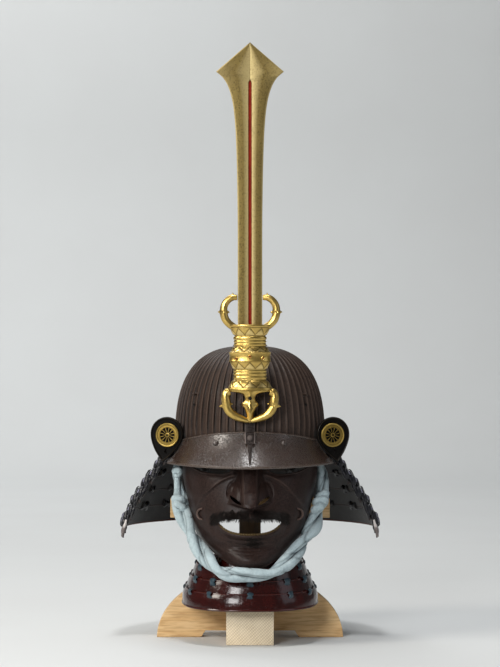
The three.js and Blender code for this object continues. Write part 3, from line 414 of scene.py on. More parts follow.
def block(low: Sequence[float], high: Sequence[float], ease: float) -> Solid:
    """A planed block with eased edges, drawn as rings along X.

    Args:
        low: its lowest corner.
        high: its highest corner.
        ease: how much its edges are rounded.

    Returns:
        The solid.
    """
    (x0, y0, z0), (x1, y1, z1) = low, high
    corner = np.radians(np.arange(0, 91, 30))
    ring = []
    for cy, cz, start in ((y1, z1, 0), (y0, z1, 1), (y0, z0, 2), (y1, z0, 3)):
        for angle in corner + start * math.pi / 2:
            in_y, in_z = -1 if cy == y1 else 1, -1 if cz == z1 else 1
            ring.append((cy + ease * (in_y + math.cos(angle)), cz + ease * (in_z + math.sin(angle))))
    outline = np.array(ring)
    middle = outline.mean(axis=0)
    size = np.array([y1 - y0, z1 - z0])
    rows = [(x0, ease), (x0 + 0.3 * ease, 0.3 * ease), (x0 + ease, 0.0)]
    rows += [(x1 - ease, 0.0), (x1 - 0.3 * ease, 0.3 * ease), (x1, ease)]
    rings = []
    for x, pulled in rows:
        shrunk = middle + (outline - middle) * (1 - 2 * pulled / size)
        rings.append(stacked(x, shrunk[:, 0], shrunk[:, 1]))
    return ring_solid(np.array(rings))


def joined(solids: Iterable[Solid]) -> Solid:
    """Several solids as one; a mark that one of them lacks is 0 there."""
    solids = list(solids)
    faces, start = [], 0
    for solid in solids:
        faces += [tuple(start + k for k in face) for face in solid.faces]
        start += len(solid.points)
    marks = {
        name: np.concatenate([solid.marks.get(name, np.zeros(len(solid.points))) for solid in solids])
        for name in sorted({name for solid in solids for name in solid.marks})
    }
    return Solid(np.vstack([solid.points for solid in solids]), faces, marks, turned=True)


# Pieces


def set_mark(mesh: bpy.types.Mesh, name: str, values: Any) -> None:
    """Gives a mesh a named number or vector at each of its points."""
    values = np.asarray(values, np.float32)
    kind, key = ("FLOAT", "value") if values.ndim == 1 else ("FLOAT_VECTOR", "vector")
    mesh.attributes.new(name, kind, "POINT").data.foreach_set(key, values.ravel())


def linked(name: str, data: Any) -> Object:
    """A new object at the origin, linked to the scene."""
    made = bpy.data.objects.new(name, data)
    bpy.context.scene.collection.objects.link(made)
    return made


def smooth(mesh: bpy.types.Mesh, crease: float) -> None:
    """Shades a mesh smooth but for edges sharper than an angle in degrees."""
    mesh.shade_smooth()
    mesh.set_sharp_from_angle(angle=math.radians(crease))


def new_object(name: str, solid: Solid, crease: float = 38.0) -> Object:
    """A Blender object at the origin from a solid.

    Args:
        name: its name.
        solid: its shape in millimetres.
        crease: the angle in degrees past which an edge stays sharp.

    Returns:
        The object, linked to the scene.
    """
    mesh = bpy.data.meshes.new(name)
    mesh.from_pydata((solid.points * MM).tolist(), [], solid.faces)
    for mark, values in solid.marks.items():
        set_mark(mesh, mark, values)
    smooth(mesh, crease)
    return linked(name, mesh)


def baked(made: Object) -> Object:
    """Turns an object's modifiers into a plain mesh of its own and takes them off."""
    bpy.context.view_layer.update()
    seen = made.evaluated_get(bpy.context.evaluated_depsgraph_get())
    mesh = bpy.data.meshes.new_from_object(seen)
    old = made.data
    made.modifiers.clear()
    made.data = mesh
    if isinstance(old, bpy.types.Mesh) and old.users == 0:
        bpy.data.meshes.remove(old)
    mesh.name = made.name
    return made


def settle(
    made: Object, finish: "Finish", stands_for: Sequence[str] = (),
) -> Object:
    """Gives a finished piece its material and its place on the model.

    Args:
        made: the piece.
        finish: its finish.
        stands_for: the CAD nodes that it is shown in place of.

    Returns:
        The piece.
    """
    made.data.materials.clear()
    made.data.materials.append(finish.material())
    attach(made, BODY)
    if stands_for:
        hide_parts(*stands_for)
    log.info("%-26s %6d faces", made.name, len(made.data.polygons))
    return made


def piece(
    name: str, solids: Iterable[Solid], finish: "Finish", stands_for: Sequence[str] = (),
    crease: float = 38.0,
) -> Object:
    """Builds a piece from solids and settles it, with what settle takes."""
    return settle(new_object(name, joined(solids), crease), finish, stands_for)


# Nodes


def linear(colour: str) -> tuple[float, float, float, float]:
    """Turns an sRGB hex colour to the linear one that Blender takes."""
    values = [int(colour[k:k + 2], 16) / 255 for k in (0, 2, 4)]
    red, green, blue = [v / 12.92 if v <= 0.04045 else ((v + 0.055) / 1.055) ** 2.4 for v in values]
    return (red, green, blue, 1.0)


def plug(node: Any, values: Mapping[Any, Any]) -> None:
    """Sets a node's inputs by name or number: a socket is linked, a value held, None passed over."""
    for key, value in values.items():
        if isinstance(value, Socket):
            node.id_data.links.new(value, node.inputs[key])
        elif value is not None:
            node.inputs[key].default_value = value


def add_node(tree: Tree, kind: str, inputs: Mapping[Any, Any] | None = None, **settings: Any) -> Any:
    """Adds a node to a tree.

    Args:
        tree: the tree.
        kind: the node's type.
        inputs: by socket name or number, a socket to link from or a value to hold.
        **settings: the node's own properties.

    Returns:
        The node.
    """
    node = tree.nodes.new(kind)
    for key, value in settings.items():
        setattr(node, key, value)
    plug(node, inputs or {})
    return node


def worked_out(tree: Tree, known: dict[str, Any], rows: Iterable[tuple[Any, ...]]) -> dict[str, Any]:
    """Works out named numbers one after another, as a sheet of sums.

    Args:
        tree: the tree that does the sums.
        known: what is known by name; it is added to.
        rows: a name, an operation, and its operands, each a known name or a number.

    Returns:
        Everything that is known at the end.
    """
    for name, operation, *operands in rows:
        given = {k: known[o] if isinstance(o, str) else o for k, o in enumerate(operands)}
        known[name] = add_node(tree, "ShaderNodeMath", given, operation=operation).outputs[0]
    return known


class GeometryTree:
    """A Geometry Nodes tree with named inputs, and the modifier that runs it."""

    def __init__(self, name: str, inputs: Mapping[str, str]) -> None:
        """Makes the tree's inputs, each a title with its kind, its output and their two nodes."""
        self.tree = bpy.data.node_groups.new(name, "GeometryNodeTree")
        face = self.tree.interface
        face.new_socket("Geometry", in_out="INPUT", socket_type="NodeSocketGeometry")
        self.keys = {
            title: face.new_socket(title, in_out="INPUT", socket_type="NodeSocket" + kind).identifier
            for title, kind in inputs.items()
        }
        face.new_socket("Geometry", in_out="OUTPUT", socket_type="NodeSocketGeometry")
        self.given = add_node(self.tree, "NodeGroupInput").outputs

    def end(self, geometry: Socket) -> None:
        """Ends the tree: copies are made real and the finish is put on."""
        real = add_node(self.tree, "GeometryNodeRealizeInstances", {0: geometry})
        inputs = {0: real.outputs[0], "Material": self.given["Finish"]}
        dressed = add_node(self.tree, "GeometryNodeSetMaterial", inputs)
        add_node(self.tree, "NodeGroupOutput", {0: dressed.outputs[0]})

    def run_on(self, made: Object, values: Mapping[str, Any]) -> Object:
        """Puts the tree on an object with its inputs set, and bakes it."""
        modifier = made.modifiers.new("nodes", "NODES")
        modifier.node_group = self.tree
        for title, value in values.items():
            modifier[self.keys[title]] = value
        return baked(made)


Place = tuple[Any, Any, Any, float]  # a point, the way it faces, the way it runs, and its size


class Scatter:
    """Sets copies of one small shape on marked points by Geometry Nodes."""

    def __init__(self) -> None:
        """Builds the tree that every row of rivets, knots, loops and hairs is set by."""
        self.nodes = GeometryTree("set_on_points", {
            "Shape": "Object", "Finish": "Material", "Size Spread": "Float", "Lean": "Float", "Seed": "Int",
        })
        tree, given = self.nodes.tree, self.nodes.given
        read = {
            name: add_node(
                tree, "GeometryNodeInputNamedAttribute", {"Name": name}, data_type=kind
            ).outputs["Attribute"]
            for name, kind in (("facing", "FLOAT_VECTOR"), ("along", "FLOAT_VECTOR"), ("size", "FLOAT"))
        }
        known = worked_out(tree, {"lean": given["Lean"], "spread": given["Size Spread"]}, [
            ("least", "SUBTRACT", 0.0, "lean"), ("less", "SUBTRACT", 1.0, "spread"),
            ("more", "ADD", 1.0, "spread"),
        ])
        low, high = [
            add_node(tree, "ShaderNodeCombineXYZ", {k: known[name] for k in range(3)}).outputs[0]
            for name in ("least", "lean")
        ]
        align = "FunctionNodeAlignRotationToVector"
        upright = add_node(tree, align, {"Vector": read["facing"]}, axis="Z")
        inputs = {"Rotation": upright.outputs[0], "Vector": read["along"]}
        turned = add_node(tree, align, inputs, axis="X", pivot_axis="Z")
        inputs = {"Min": low, "Max": high, "Seed": given["Seed"]}
        lean = add_node(tree, "FunctionNodeRandomValue", inputs, data_type="FLOAT_VECTOR")
        leant = add_node(tree, "FunctionNodeEulerToRotation", {0: lean.outputs[0]})
        inputs = {"Rotation": turned.outputs[0], "Rotate By": leant.outputs[0]}
        rotation = add_node(tree, "FunctionNodeRotateRotation", inputs, rotation_space="LOCAL")
        inputs = {2: known["less"], 3: known["more"], "Seed": given["Seed"]}
        spread = add_node(tree, "FunctionNodeRandomValue", inputs)
        worked_out(tree, known, [("scale", "MULTIPLY", read["size"], spread.outputs[1])])
        shape = add_node(tree, "GeometryNodeObjectInfo", {"Object": given["Shape"]})
        copies = add_node(tree, "GeometryNodeInstanceOnPoints", {
            "Points": given["Geometry"], "Instance": shape.outputs["Geometry"],
            "Rotation": rotation.outputs[0], "Scale": known["scale"],
        })
        self.nodes.end(copies.outputs[0])

    def set_out(
        self, name: str, shape: Solid, places: Sequence[Place], finish: "Finish",
        stands_for: Sequence[str] = (), spread: float = 0.0, lean: float = 0.0, seed: int = 1,
    ) -> Object:
        """Sets a shape on every place and bakes the copies to one piece.

        Args:
            name: the piece's name.
            shape: the small shape, made about the origin with +Z outwards, in millimetres.
            places: where the copies go.
            finish: their finish.
            stands_for: the CAD nodes that the piece is shown in place of.
            spread: how far their sizes differ, as a share.
            lean: how far they lean at random, in degrees.
            seed: fixes what is random.

        Returns:
            The piece.
        """
        model = new_object(name + "_shape", shape)
        point, facing, along, size = [np.array(column, float) for column in zip(*places)]
        mesh = bpy.data.meshes.new(name)
        mesh.from_pydata((point * MM).tolist(), [], [])
        set_mark(mesh, "facing", unit(facing))
        set_mark(mesh, "along", unit(along))
        set_mark(mesh, "size", size)
        made = linked(name, mesh)
        self.nodes.run_on(made, {
            "Shape": model, "Finish": finish.material(), "Size Spread": spread,
            "Lean": math.radians(lean), "Seed": seed,
        })
        for mark in ("facing", "along", "size"):
            if made.data.attributes.get(mark):
                made.data.attributes.remove(made.data.attributes[mark])
        bpy.data.objects.remove(model)
        return settle(made, finish, stands_for)


# Finishes


class Brush:
    """Paints one material: makes patterns on its node tree and plugs them into its shader."""

    def __init__(self, tree: Tree) -> None:
        """Adds the shader, the output and the point that patterns read, in metres."""
        tree.nodes.clear()
        self.tree = tree
        self.shader = add_node(tree, "ShaderNodeBsdfPrincipled")
        add_node(tree, "ShaderNodeOutputMaterial", {"Surface": self.shader.outputs[0]})
        self.where = add_node(tree, "ShaderNodeTexCoord").outputs["Object"]

    def mark(self, name: str) -> Socket:
        """A number that the mesh carries."""
        return add_node(self.tree, "ShaderNodeAttribute", attribute_name=name).outputs["Fac"]

    def patches(
        self, size: float, low: float, high: float, stretch: Sequence[float] = (1, 1, 1),
        detail: float = 3.0, swirl: float = 0.0,
    ) -> Socket:
        """A cloudy pattern from 0 to 1.

        Args:
            size: of one patch in millimetres.
            low: the raw value that becomes 0.
            high: the raw value that becomes 1.
            stretch: how the pattern is drawn out, a small number being longer.
            detail: how much finer the finest of it is.
            swirl: how far it is bent.

        Returns:
            The pattern.
        """
        scale = [v / (size * MM) for v in stretch]
        place = add_node(self.tree, "ShaderNodeMapping", {"Vector": self.where, "Scale": scale})
        inputs = {"Vector": place.outputs[0], "Scale": 1.0, "Detail": detail, "Distortion": swirl}
        cloud = add_node(self.tree, "ShaderNodeTexNoise", inputs)
        return self.ranged(cloud.outputs[0], low, high, 0.0, 1.0)

    def bands(self, vector: Socket, scale: float, bend: float, way: str) -> Socket:
        """A pattern of soft stripes across one way."""
        inputs = {"Vector": vector, "Scale": scale, "Distortion": bend}
        wave = add_node(self.tree, "ShaderNodeTexWave", inputs, wave_type="BANDS", bands_direction=way)
        return wave.outputs["Fac"]

    def ranged(self, value: Socket, low: float, high: float, start: float, end: float) -> Socket:
        """Carries a number from the range low to high over to the range start to end."""
        inputs = {0: value, 1: low, 2: high, 3: start, 4: end}
        return add_node(self.tree, "ShaderNodeMapRange", inputs).outputs[0]

    def between(self, share: Socket, low: float, high: float) -> Socket:
        """A number that goes from low to high by a share."""
        return self.ranged(share, 0.0, 1.0, low, high)

    def cover(
        self, base: str, layers: Iterable[tuple[Socket, str, float]], rough: Any,
        heights: Iterable[tuple[Socket, float]] = (), others: Mapping[str, float] | None = None,
    ) -> None:
        """Plugs colour, roughness and relief into the shader.

        Args:
            base: the lowest colour.
            layers: where each next colour shows, the colour, and how strongly.
            rough: the roughness.
            heights: patterns for the relief, each with its depth in millimetres.
            others: the shader's other numbers.
        """
        colour: Any = linear(base)
        for shown, paint, strength in layers:
            inputs = {0: shown, 1: strength}
            amount = add_node(self.tree, "ShaderNodeMath", inputs, operation="MULTIPLY", use_clamp=True)
            inputs = {"Factor": amount.outputs[0], 6: colour, 7: linear(paint)}
            mixed = add_node(self.tree, "ShaderNodeMix", inputs, data_type="RGBA", blend_type="MIX")
            colour = mixed.outputs[2]
        normal = None
        for height, depth in heights:
            inputs = {"Height": height, "Strength": 1.0, "Distance": abs(depth) * MM, "Normal": normal}
            normal = add_node(self.tree, "ShaderNodeBump", inputs, invert=depth < 0).outputs["Normal"]
        plug(self.shader, {"Base Color": colour, "Roughness": rough, "Normal": normal, **(others or {})})


class Grain(Enum):
    """Which way a board's grain runs."""

    SIDEWAYS = (0.09, 1.0, 1.0)
    UPRIGHT = (1.0, 1.0, 0.09)
    FRONT_TO_BACK = (1.0, 0.09, 1.0)


@dataclass(frozen=True)
class Finish:
    """One real material. Each kind says in its own paint method how it looks."""

    name: str

    def material(self) -> bpy.types.Material:
        """The Blender material, made the first time that it is asked for."""
        title = "finish_" + self.name  # the CAD nodes' own plain materials have the slots' names
        made = bpy.data.materials.get(title)
        if made is None:
            made = bpy.data.materials.new(title)
            made.use_nodes = True
            self.paint(Brush(made.node_tree))
        return made

    def paint(self, brush: Brush) -> None:
        """Says how the finish looks."""
        raise NotImplementedError


@dataclass(frozen=True)
class RussetIron(Finish):
    """Iron under a rust-coloured lacquer rubbed thin: brown, grainy, with paler, shinier edges; the paleness
    is partly a painted highlight, and holes and steps get painted shade.
    """

    body: str = "33261f"
    deep: str = "17100d"
    worn: str = "665449"
    hollow_shade: str = "0c0908"
    pit: float = 2.6
    pit_depth: float = 0.12
    gloss: tuple[float, float] = (0.4, 0.62)
    shine: float = 0.22
    fleck: float = 0.12

    def paint(self, brush: Brush) -> None:
        """Brown in slow patches, fine grain, small pits, rubbed edges that also carry painted highlights, and
        painted shade in recesses.
        """
        cloudy = brush.patches(24, 0.35, 0.7)
        grain = brush.patches(self.pit * 0.6, 0.35, 0.7, detail=4)
        pits = brush.patches(self.pit, 0.52, 0.66)
        layers = [
            (cloudy, self.deep, 0.4), (grain, self.worn, self.fleck), (pits, self.deep, 0.6),
            (brush.mark("rubbed"), self.worn, 0.6), (brush.mark("recess"), self.hollow_shade, 0.9),
        ]
        heights = [(grain, 0.03), (pits, -self.pit_depth), (cloudy, 0.1)]
        rough = brush.between(grain, *self.gloss)
        brush.cover(self.body, layers, rough, heights, {"Specular IOR Level": self.shine})


@dataclass(frozen=True)
class Gilt(Finish):
    """Chased copper, fire-gilded: warm gold on what stands up, with painted shade in what is cut in."""

    body: str = "cdad5f"
    rubbed_colour: str = "f6e2a6"
    tarnish: str = "7d632c"
    shade_and_tone_colour: str = "35210d"
    gloss: tuple[float, float] = (0.28, 0.44)

    def paint(self, brush: Brush) -> None:
        """Gold with soft tarnish, hammer-soft unevenness and painted shade in the engraving."""
        cloudy, fine = brush.patches(11, 0.45, 0.75), brush.patches(1.6, 0.3, 0.7)
        layers = [
            (cloudy, self.tarnish, 0.4), (fine, self.tarnish, 0.14),
            (brush.mark("rubbed"), self.rubbed_colour, 0.6), (brush.mark("recess"), self.shade_and_tone_colour, 0.85),
        ]
        coat = {"Metallic": 1.0, "Coat Weight": 0.25, "Coat Roughness": 0.2}
        rough = brush.between(cloudy, *self.gloss)
        brush.cover(self.body, layers, rough, [(cloudy, 0.1), (fine, 0.03)], coat)


@dataclass(frozen=True)
class LeafedBrass(Finish):
    """Brass sheet under old gold leaf: dull straw gold, speckled where the leaf has worn through."""

    body: str = "6e5d32"
    speck: str = "443a1f"
    bright: str = "84733f"
    edge: str = "e0cc94"

    def paint(self, brush: Brush) -> None:
        """A fine speckle over slow clouds, with a soft satin gloss."""
        cloudy = brush.patches(40, 0.38, 0.68)
        specks = brush.patches(1.9, 0.5, 0.66, detail=5)
        flecks = brush.patches(3.4, 0.55, 0.7, detail=5)
        layers = [
            (cloudy, self.bright, 0.35), (specks, self.speck, 0.4), (flecks, self.bright, 0.35),
            (brush.mark("rubbed"), self.edge, 0.6),
        ]
        rough = brush.between(specks, 0.56, 0.74)
        brush.cover(self.body, layers, rough, [(specks, -0.03), (cloudy, 0.15)], {"Metallic": 0.75})


@dataclass(frozen=True)
class Lacquer(Finish):
    """Urushi brushed on leather or iron: a hard coat that ripples a little and wears at edges."""

    body: str = "1b191a"
    cloud: str = "0d0c0d"
    worn: str = "3f3a38"
    hollow_shade: str = "050505"
    ripple: float = 9.0
    ripple_depth: float = 0.12
    grain: float = 1.4
    grain_depth: float = 0.02
    gloss: tuple[float, float] = (0.28, 0.45)
    coat: float = 0.3
    shine: float = 0.2

    def paint(self, brush: Brush) -> None:
        """Slow ripples, a fine skin grain, worn edges (a painted highlight on the neck guard's corner tips),
        painted shade in recesses, and a clear coat.
        """
        cloudy = brush.patches(self.ripple * 3, 0.35, 0.7)
        ripples = brush.patches(self.ripple, 0.3, 0.7, detail=2)
        skin = brush.patches(self.grain, 0.35, 0.7)
        layers = [
            (cloudy, self.cloud, 0.7), (skin, self.worn, 0.1), (brush.mark("rubbed"), self.worn, 0.9),
            (brush.mark("recess"), self.hollow_shade, 0.9),
        ]
        heights = [(ripples, self.ripple_depth), (skin, self.grain_depth)]
        coat = {"Coat Weight": self.coat, "Specular IOR Level": self.shine, "Coat Roughness": 0.12}
        brush.cover(self.body, layers, brush.between(skin, *self.gloss), heights, coat)


@dataclass(frozen=True)
class SilkBraid(Finish):
    """Flat braided silk: dull thread with a soft sheen, its fine ribs drawn a little coarse."""

    body: str = "232336"
    light: str = "5a5873"
    dark: str = "0d0d16"
    thread: float = 1.1

    def paint(self, brush: Brush) -> None:
        """Small crossing ribs with lighter rubbed threads."""
        scale = [1 / (self.thread * MM)] * 3
        place = add_node(brush.tree, "ShaderNodeMapping", {"Vector": brush.where, "Scale": scale})
        known = {way: brush.bands(place.outputs[0], 0.16, 2.0, way) for way in ("DIAGONAL", "Z")}
        weave = worked_out(brush.tree, known, [("weave", "MULTIPLY", "DIAGONAL", "Z")])["weave"]
        faded = brush.patches(7, 0.42, 0.68)
        layers = [(faded, self.dark, 0.5), (weave, self.light, 0.3), (brush.mark("rubbed"), self.light, 1.0)]
        sheen = {"Sheen Weight": 0.06, "Specular IOR Level": 0.4}
        brush.cover(self.body, layers, 0.34, [(weave, 0.16)], sheen)


@dataclass(frozen=True)
class Horsehair(Finish):
    """Dyed horsehair: near-black strands with a dull shine."""

    body: str = "120e0c"
    light: str = "2a211c"

    def paint(self, brush: Brush) -> None:
        """Strand-to-strand differences only; the shape does the rest."""
        locks = brush.patches(2.2, 0.4, 0.7)
        brush.cover(self.body, [(locks, self.light, 0.5)], 0.5, others={"Specular IOR Level": 0.2})


@dataclass(frozen=True)
class PaddedCloth(Finish):
    """Stuffed hemp crepe, washed blue-grey: matt, with a fine weave, grey dirt in patches, and painted shade
    in its folds.
    """

    body: str = "aabcc1"
    light: str = "cad8db"
    dirt: str = "67787f"
    fold_shade: str = "2c363c"
    thread: float = 1.2

    def paint(self, brush: Brush) -> None:
        """A weave in the straightened cord's own coordinates, with wrinkles, grey soiling in patches, and
        painted shade in the hollows.
        """
        inputs = {k: brush.mark("straight_" + axis) for k, axis in enumerate("xyz")}
        straight = add_node(brush.tree, "ShaderNodeCombineXYZ", inputs).outputs[0]
        weave = brush.bands(straight, 0.314 / self.thread, 0.6, "Z")
        slubs = brush.patches(1.6, 0.3, 0.75, detail=4)
        crepe = brush.patches(6, 0.3, 0.7, detail=5, swirl=1.2)
        soiled = brush.patches(16, 0.46, 0.72)
        layers = [
            (crepe, self.light, 0.45), (soiled, self.dirt, 0.4), (slubs, self.dirt, 0.25),
            (brush.mark("recess"), self.fold_shade, 0.95),
        ]
        heights = [(weave, 0.07), (slubs, 0.2), (crepe, 0.8)]
        brush.cover(self.body, layers, 0.92, heights, {"Sheen Weight": 0.2})


@dataclass(frozen=True)
class PlanedWood(Finish):
    """Zelkova planed and left bare: honey-coloured with long darker grain and fine open pores."""

    grain: Grain = Grain.SIDEWAYS
    body: str = "d9b27b"
    dark: str = "a87a42"
    pale: str = "e6ca9c"
    end_colour: str = "efe0c4"
    saw_colour: str = "94774a"
    saw_lines: tuple[tuple[float, float], ...] = ((1.15, 3.9), (-0.95, 4.5))  # lean and gap of each set
    end_y: float | None = None

    def paint(self, brush: Brush) -> None:
        """Growth rings stretched along the grain; saw lines cross on the end of a beam."""
        stretch = self.grain.value
        long_pores = [v * (0.35 if v < 1 else 1) for v in stretch]
        figure = brush.patches(9, 0.36, 0.66, stretch, detail=4, swirl=0.5)
        rings = brush.patches(3.2, 0.45, 0.62, stretch, swirl=0.3)
        pores = brush.patches(0.9, 0.58, 0.72, long_pores, detail=1)
        layers = [
            (figure, self.pale, 0.5), (rings, self.dark, 0.5), (pores, self.dark, 0.5),
            (brush.mark("rubbed"), self.pale, 0.6),
        ]
        heights = [(pores, -0.06), (rings, 0.05)]
        if self.end_y is not None:
            known = self.sawn_end(brush)
            layers += [(known["end"], self.end_colour, 0.9), (known["hatch"], self.saw_colour, 1.0)]
            heights.append((known["hatch"], -0.12))
        brush.cover(self.body, layers, brush.between(figure, 0.5, 0.66), heights)

    def sawn_end(self, brush: Brush) -> dict[str, Any]:
        """Works out where the beam's sawn end is, and the crossing saw lines on it."""
        split = add_node(brush.tree, "ShaderNodeSeparateXYZ", {0: brush.where}).outputs
        known = {"x": split[0], "y": split[1], "z": split[2], "worn": brush.patches(14, 0.3, 0.7)}
        for index, (lean, gap) in enumerate(self.saw_lines):
            worked_out(brush.tree, known, [
                ("slant", "MULTIPLY_ADD", "x", lean, "z"), ("turns", "DIVIDE", "slant", gap * MM),
                ("angle", "MULTIPLY", "turns", 2 * math.pi), ("wave", "SINE", "angle"),
                ("line", "SUBTRACT", "wave", 0.55), ("shown", "MULTIPLY", "line", 1.6),
                (f"line {index}", "MAXIMUM", "shown", 0.0),
            ])
        return worked_out(brush.tree, known, [
            ("end", "LESS_THAN", "y", self.end_y * MM), ("both", "MAXIMUM", "line 0", "line 1"),
            ("strong", "MULTIPLY_ADD", "worn", 0.6, 0.4), ("patchy", "MULTIPLY", "both", "strong"),
            ("hatch", "MULTIPLY", "patchy", "end"),
        ])


@dataclass(frozen=True)
class StudioPaper(Finish):
    """A matt paper sweep, pale and very slightly cool."""

    body: str = "cccece"
    cloud: str = "d0d3d3"

    def paint(self, brush: Brush) -> None:
        """Nearly flat, with slow paper unevenness."""
        brush.cover(self.body, [(brush.patches(300, 0.3, 0.7), self.cloud, 0.5)], 0.9)


BOWL_IRON = RussetIron("russet_iron")
PEAK_IRON = RussetIron(
    "peak_iron", body="2f2019", deep="100a08", worn="75604f", pit=2.0,
    pit_depth=0.3, gloss=(0.25, 0.36), shine=0.8, fleck=0.14,
)
BRACKET_IRON = RussetIron(
    "bracket_iron", body="17100e", deep="0c0807", worn="a89a94", gloss=(0.35, 0.5), shine=0.1,
)
MASK_IRON = RussetIron(
    "mask_iron", body="241714", deep="150d0b", worn="6d5a52", pit=2.8, pit_depth=0.05,
    gloss=(0.34, 0.48), shine=0.18,
)
GILT = Gilt("gilt")
DISC_GILT = Gilt(
    "disc_gilt", body="957c3c", rubbed_colour="ab9250", tarnish="5e4b22", shade_and_tone_colour="060403",
    gloss=(0.42, 0.56),
)
WORN_GILT = Gilt("worn_gilt", body="2a2116", rubbed_colour="2a2116", tarnish="15110c", gloss=(0.5, 0.7))
BLADE_BRASS = LeafedBrass("blade_brass")
RED_LACQUER = Lacquer(
    "red_lacquer", body="7a1c0a", cloud="561106", worn="8f2c14", gloss=(0.5, 0.6), coat=0.0, shine=0.1,
)
LEATHER_LACQUER = Lacquer(
    "turnback_lacquer", body="0b0908", cloud="060505", worn="2a2522", grain=1.2, grain_depth=0.03,
    gloss=(0.4, 0.55), coat=0.03, shine=0.06,
)
LAME_LACQUER = Lacquer(
    "lame_lacquer", body="2e2e2f", cloud="1f1f1f", worn="3a2d28", gloss=(0.38, 0.5), coat=0.0, shine=0.22,
)
THROAT_LACQUER = Lacquer(
    "throat_lacquer", body="300a07", cloud="140403", worn="5a211a", ripple=6.5, ripple_depth=0.3,
    gloss=(0.12, 0.24), coat=0.55, shine=0.15,
)
# painted shade: the near-black disc that stands for the dark inside the hilt's eye hole
EYE_HOLE_SHADE = Lacquer("eye_shadow", body="120d0a", cloud="070505", worn="1c1511", gloss=(0.7, 0.8), coat=0.0)
RIM_LACQUER = Lacquer("rim_lacquer", body="3a1c14", cloud="20100c", worn="6a3a2c", gloss=(0.3, 0.45))
LIP_GOLD = Lacquer("lip_lacquer", body="4a3a1e", cloud="241a10", worn="8a7038", gloss=(0.4, 0.55), coat=0.0)
# painted highlight: the pale grey bar and paler tip of the neck guard's front corners
CORNER_HIGHLIGHT = Lacquer("corner_lacquer", body="6d6360", cloud="2c2625", worn="cfc8c4", gloss=(0.2, 0.4))
EDGE_BRAID = SilkBraid("edge_braid", body="0a0a0f", light="232231", dark="040406")
# painted highlight: the pale lilac of the glints between the edge braid's loops
GLINT_BRAID = SilkBraid("pale_braid", body="8d8ba0", light="d5d3de", dark="4f4c66")
DARK_LACE = SilkBraid("dark_lace", body="0e0e12", light="25262e", dark="060608")
TEAL_LACE = SilkBraid("teal_lace", body="263a44", light="4d6570", dark="101c24")
HAIR = Horsehair("hair")
CORD_CLOTH = PaddedCloth("cord_cloth")
BOARD_WOOD = PlanedWood("board_wood")
BEAM_WOOD = PlanedWood("beam_wood", grain=Grain.FRONT_TO_BACK, end_y=-85.0)
# painted shade: the post is bare wood painted dark because it stands in shade behind the helmet
SHADED_POST_WOOD = PlanedWood("post_wood", body="3c2c17", dark="281c0e", pale="4a3820", grain=Grain.UPRIGHT)
PAPER = StudioPaper("studio_paper")


# Helmet bowl


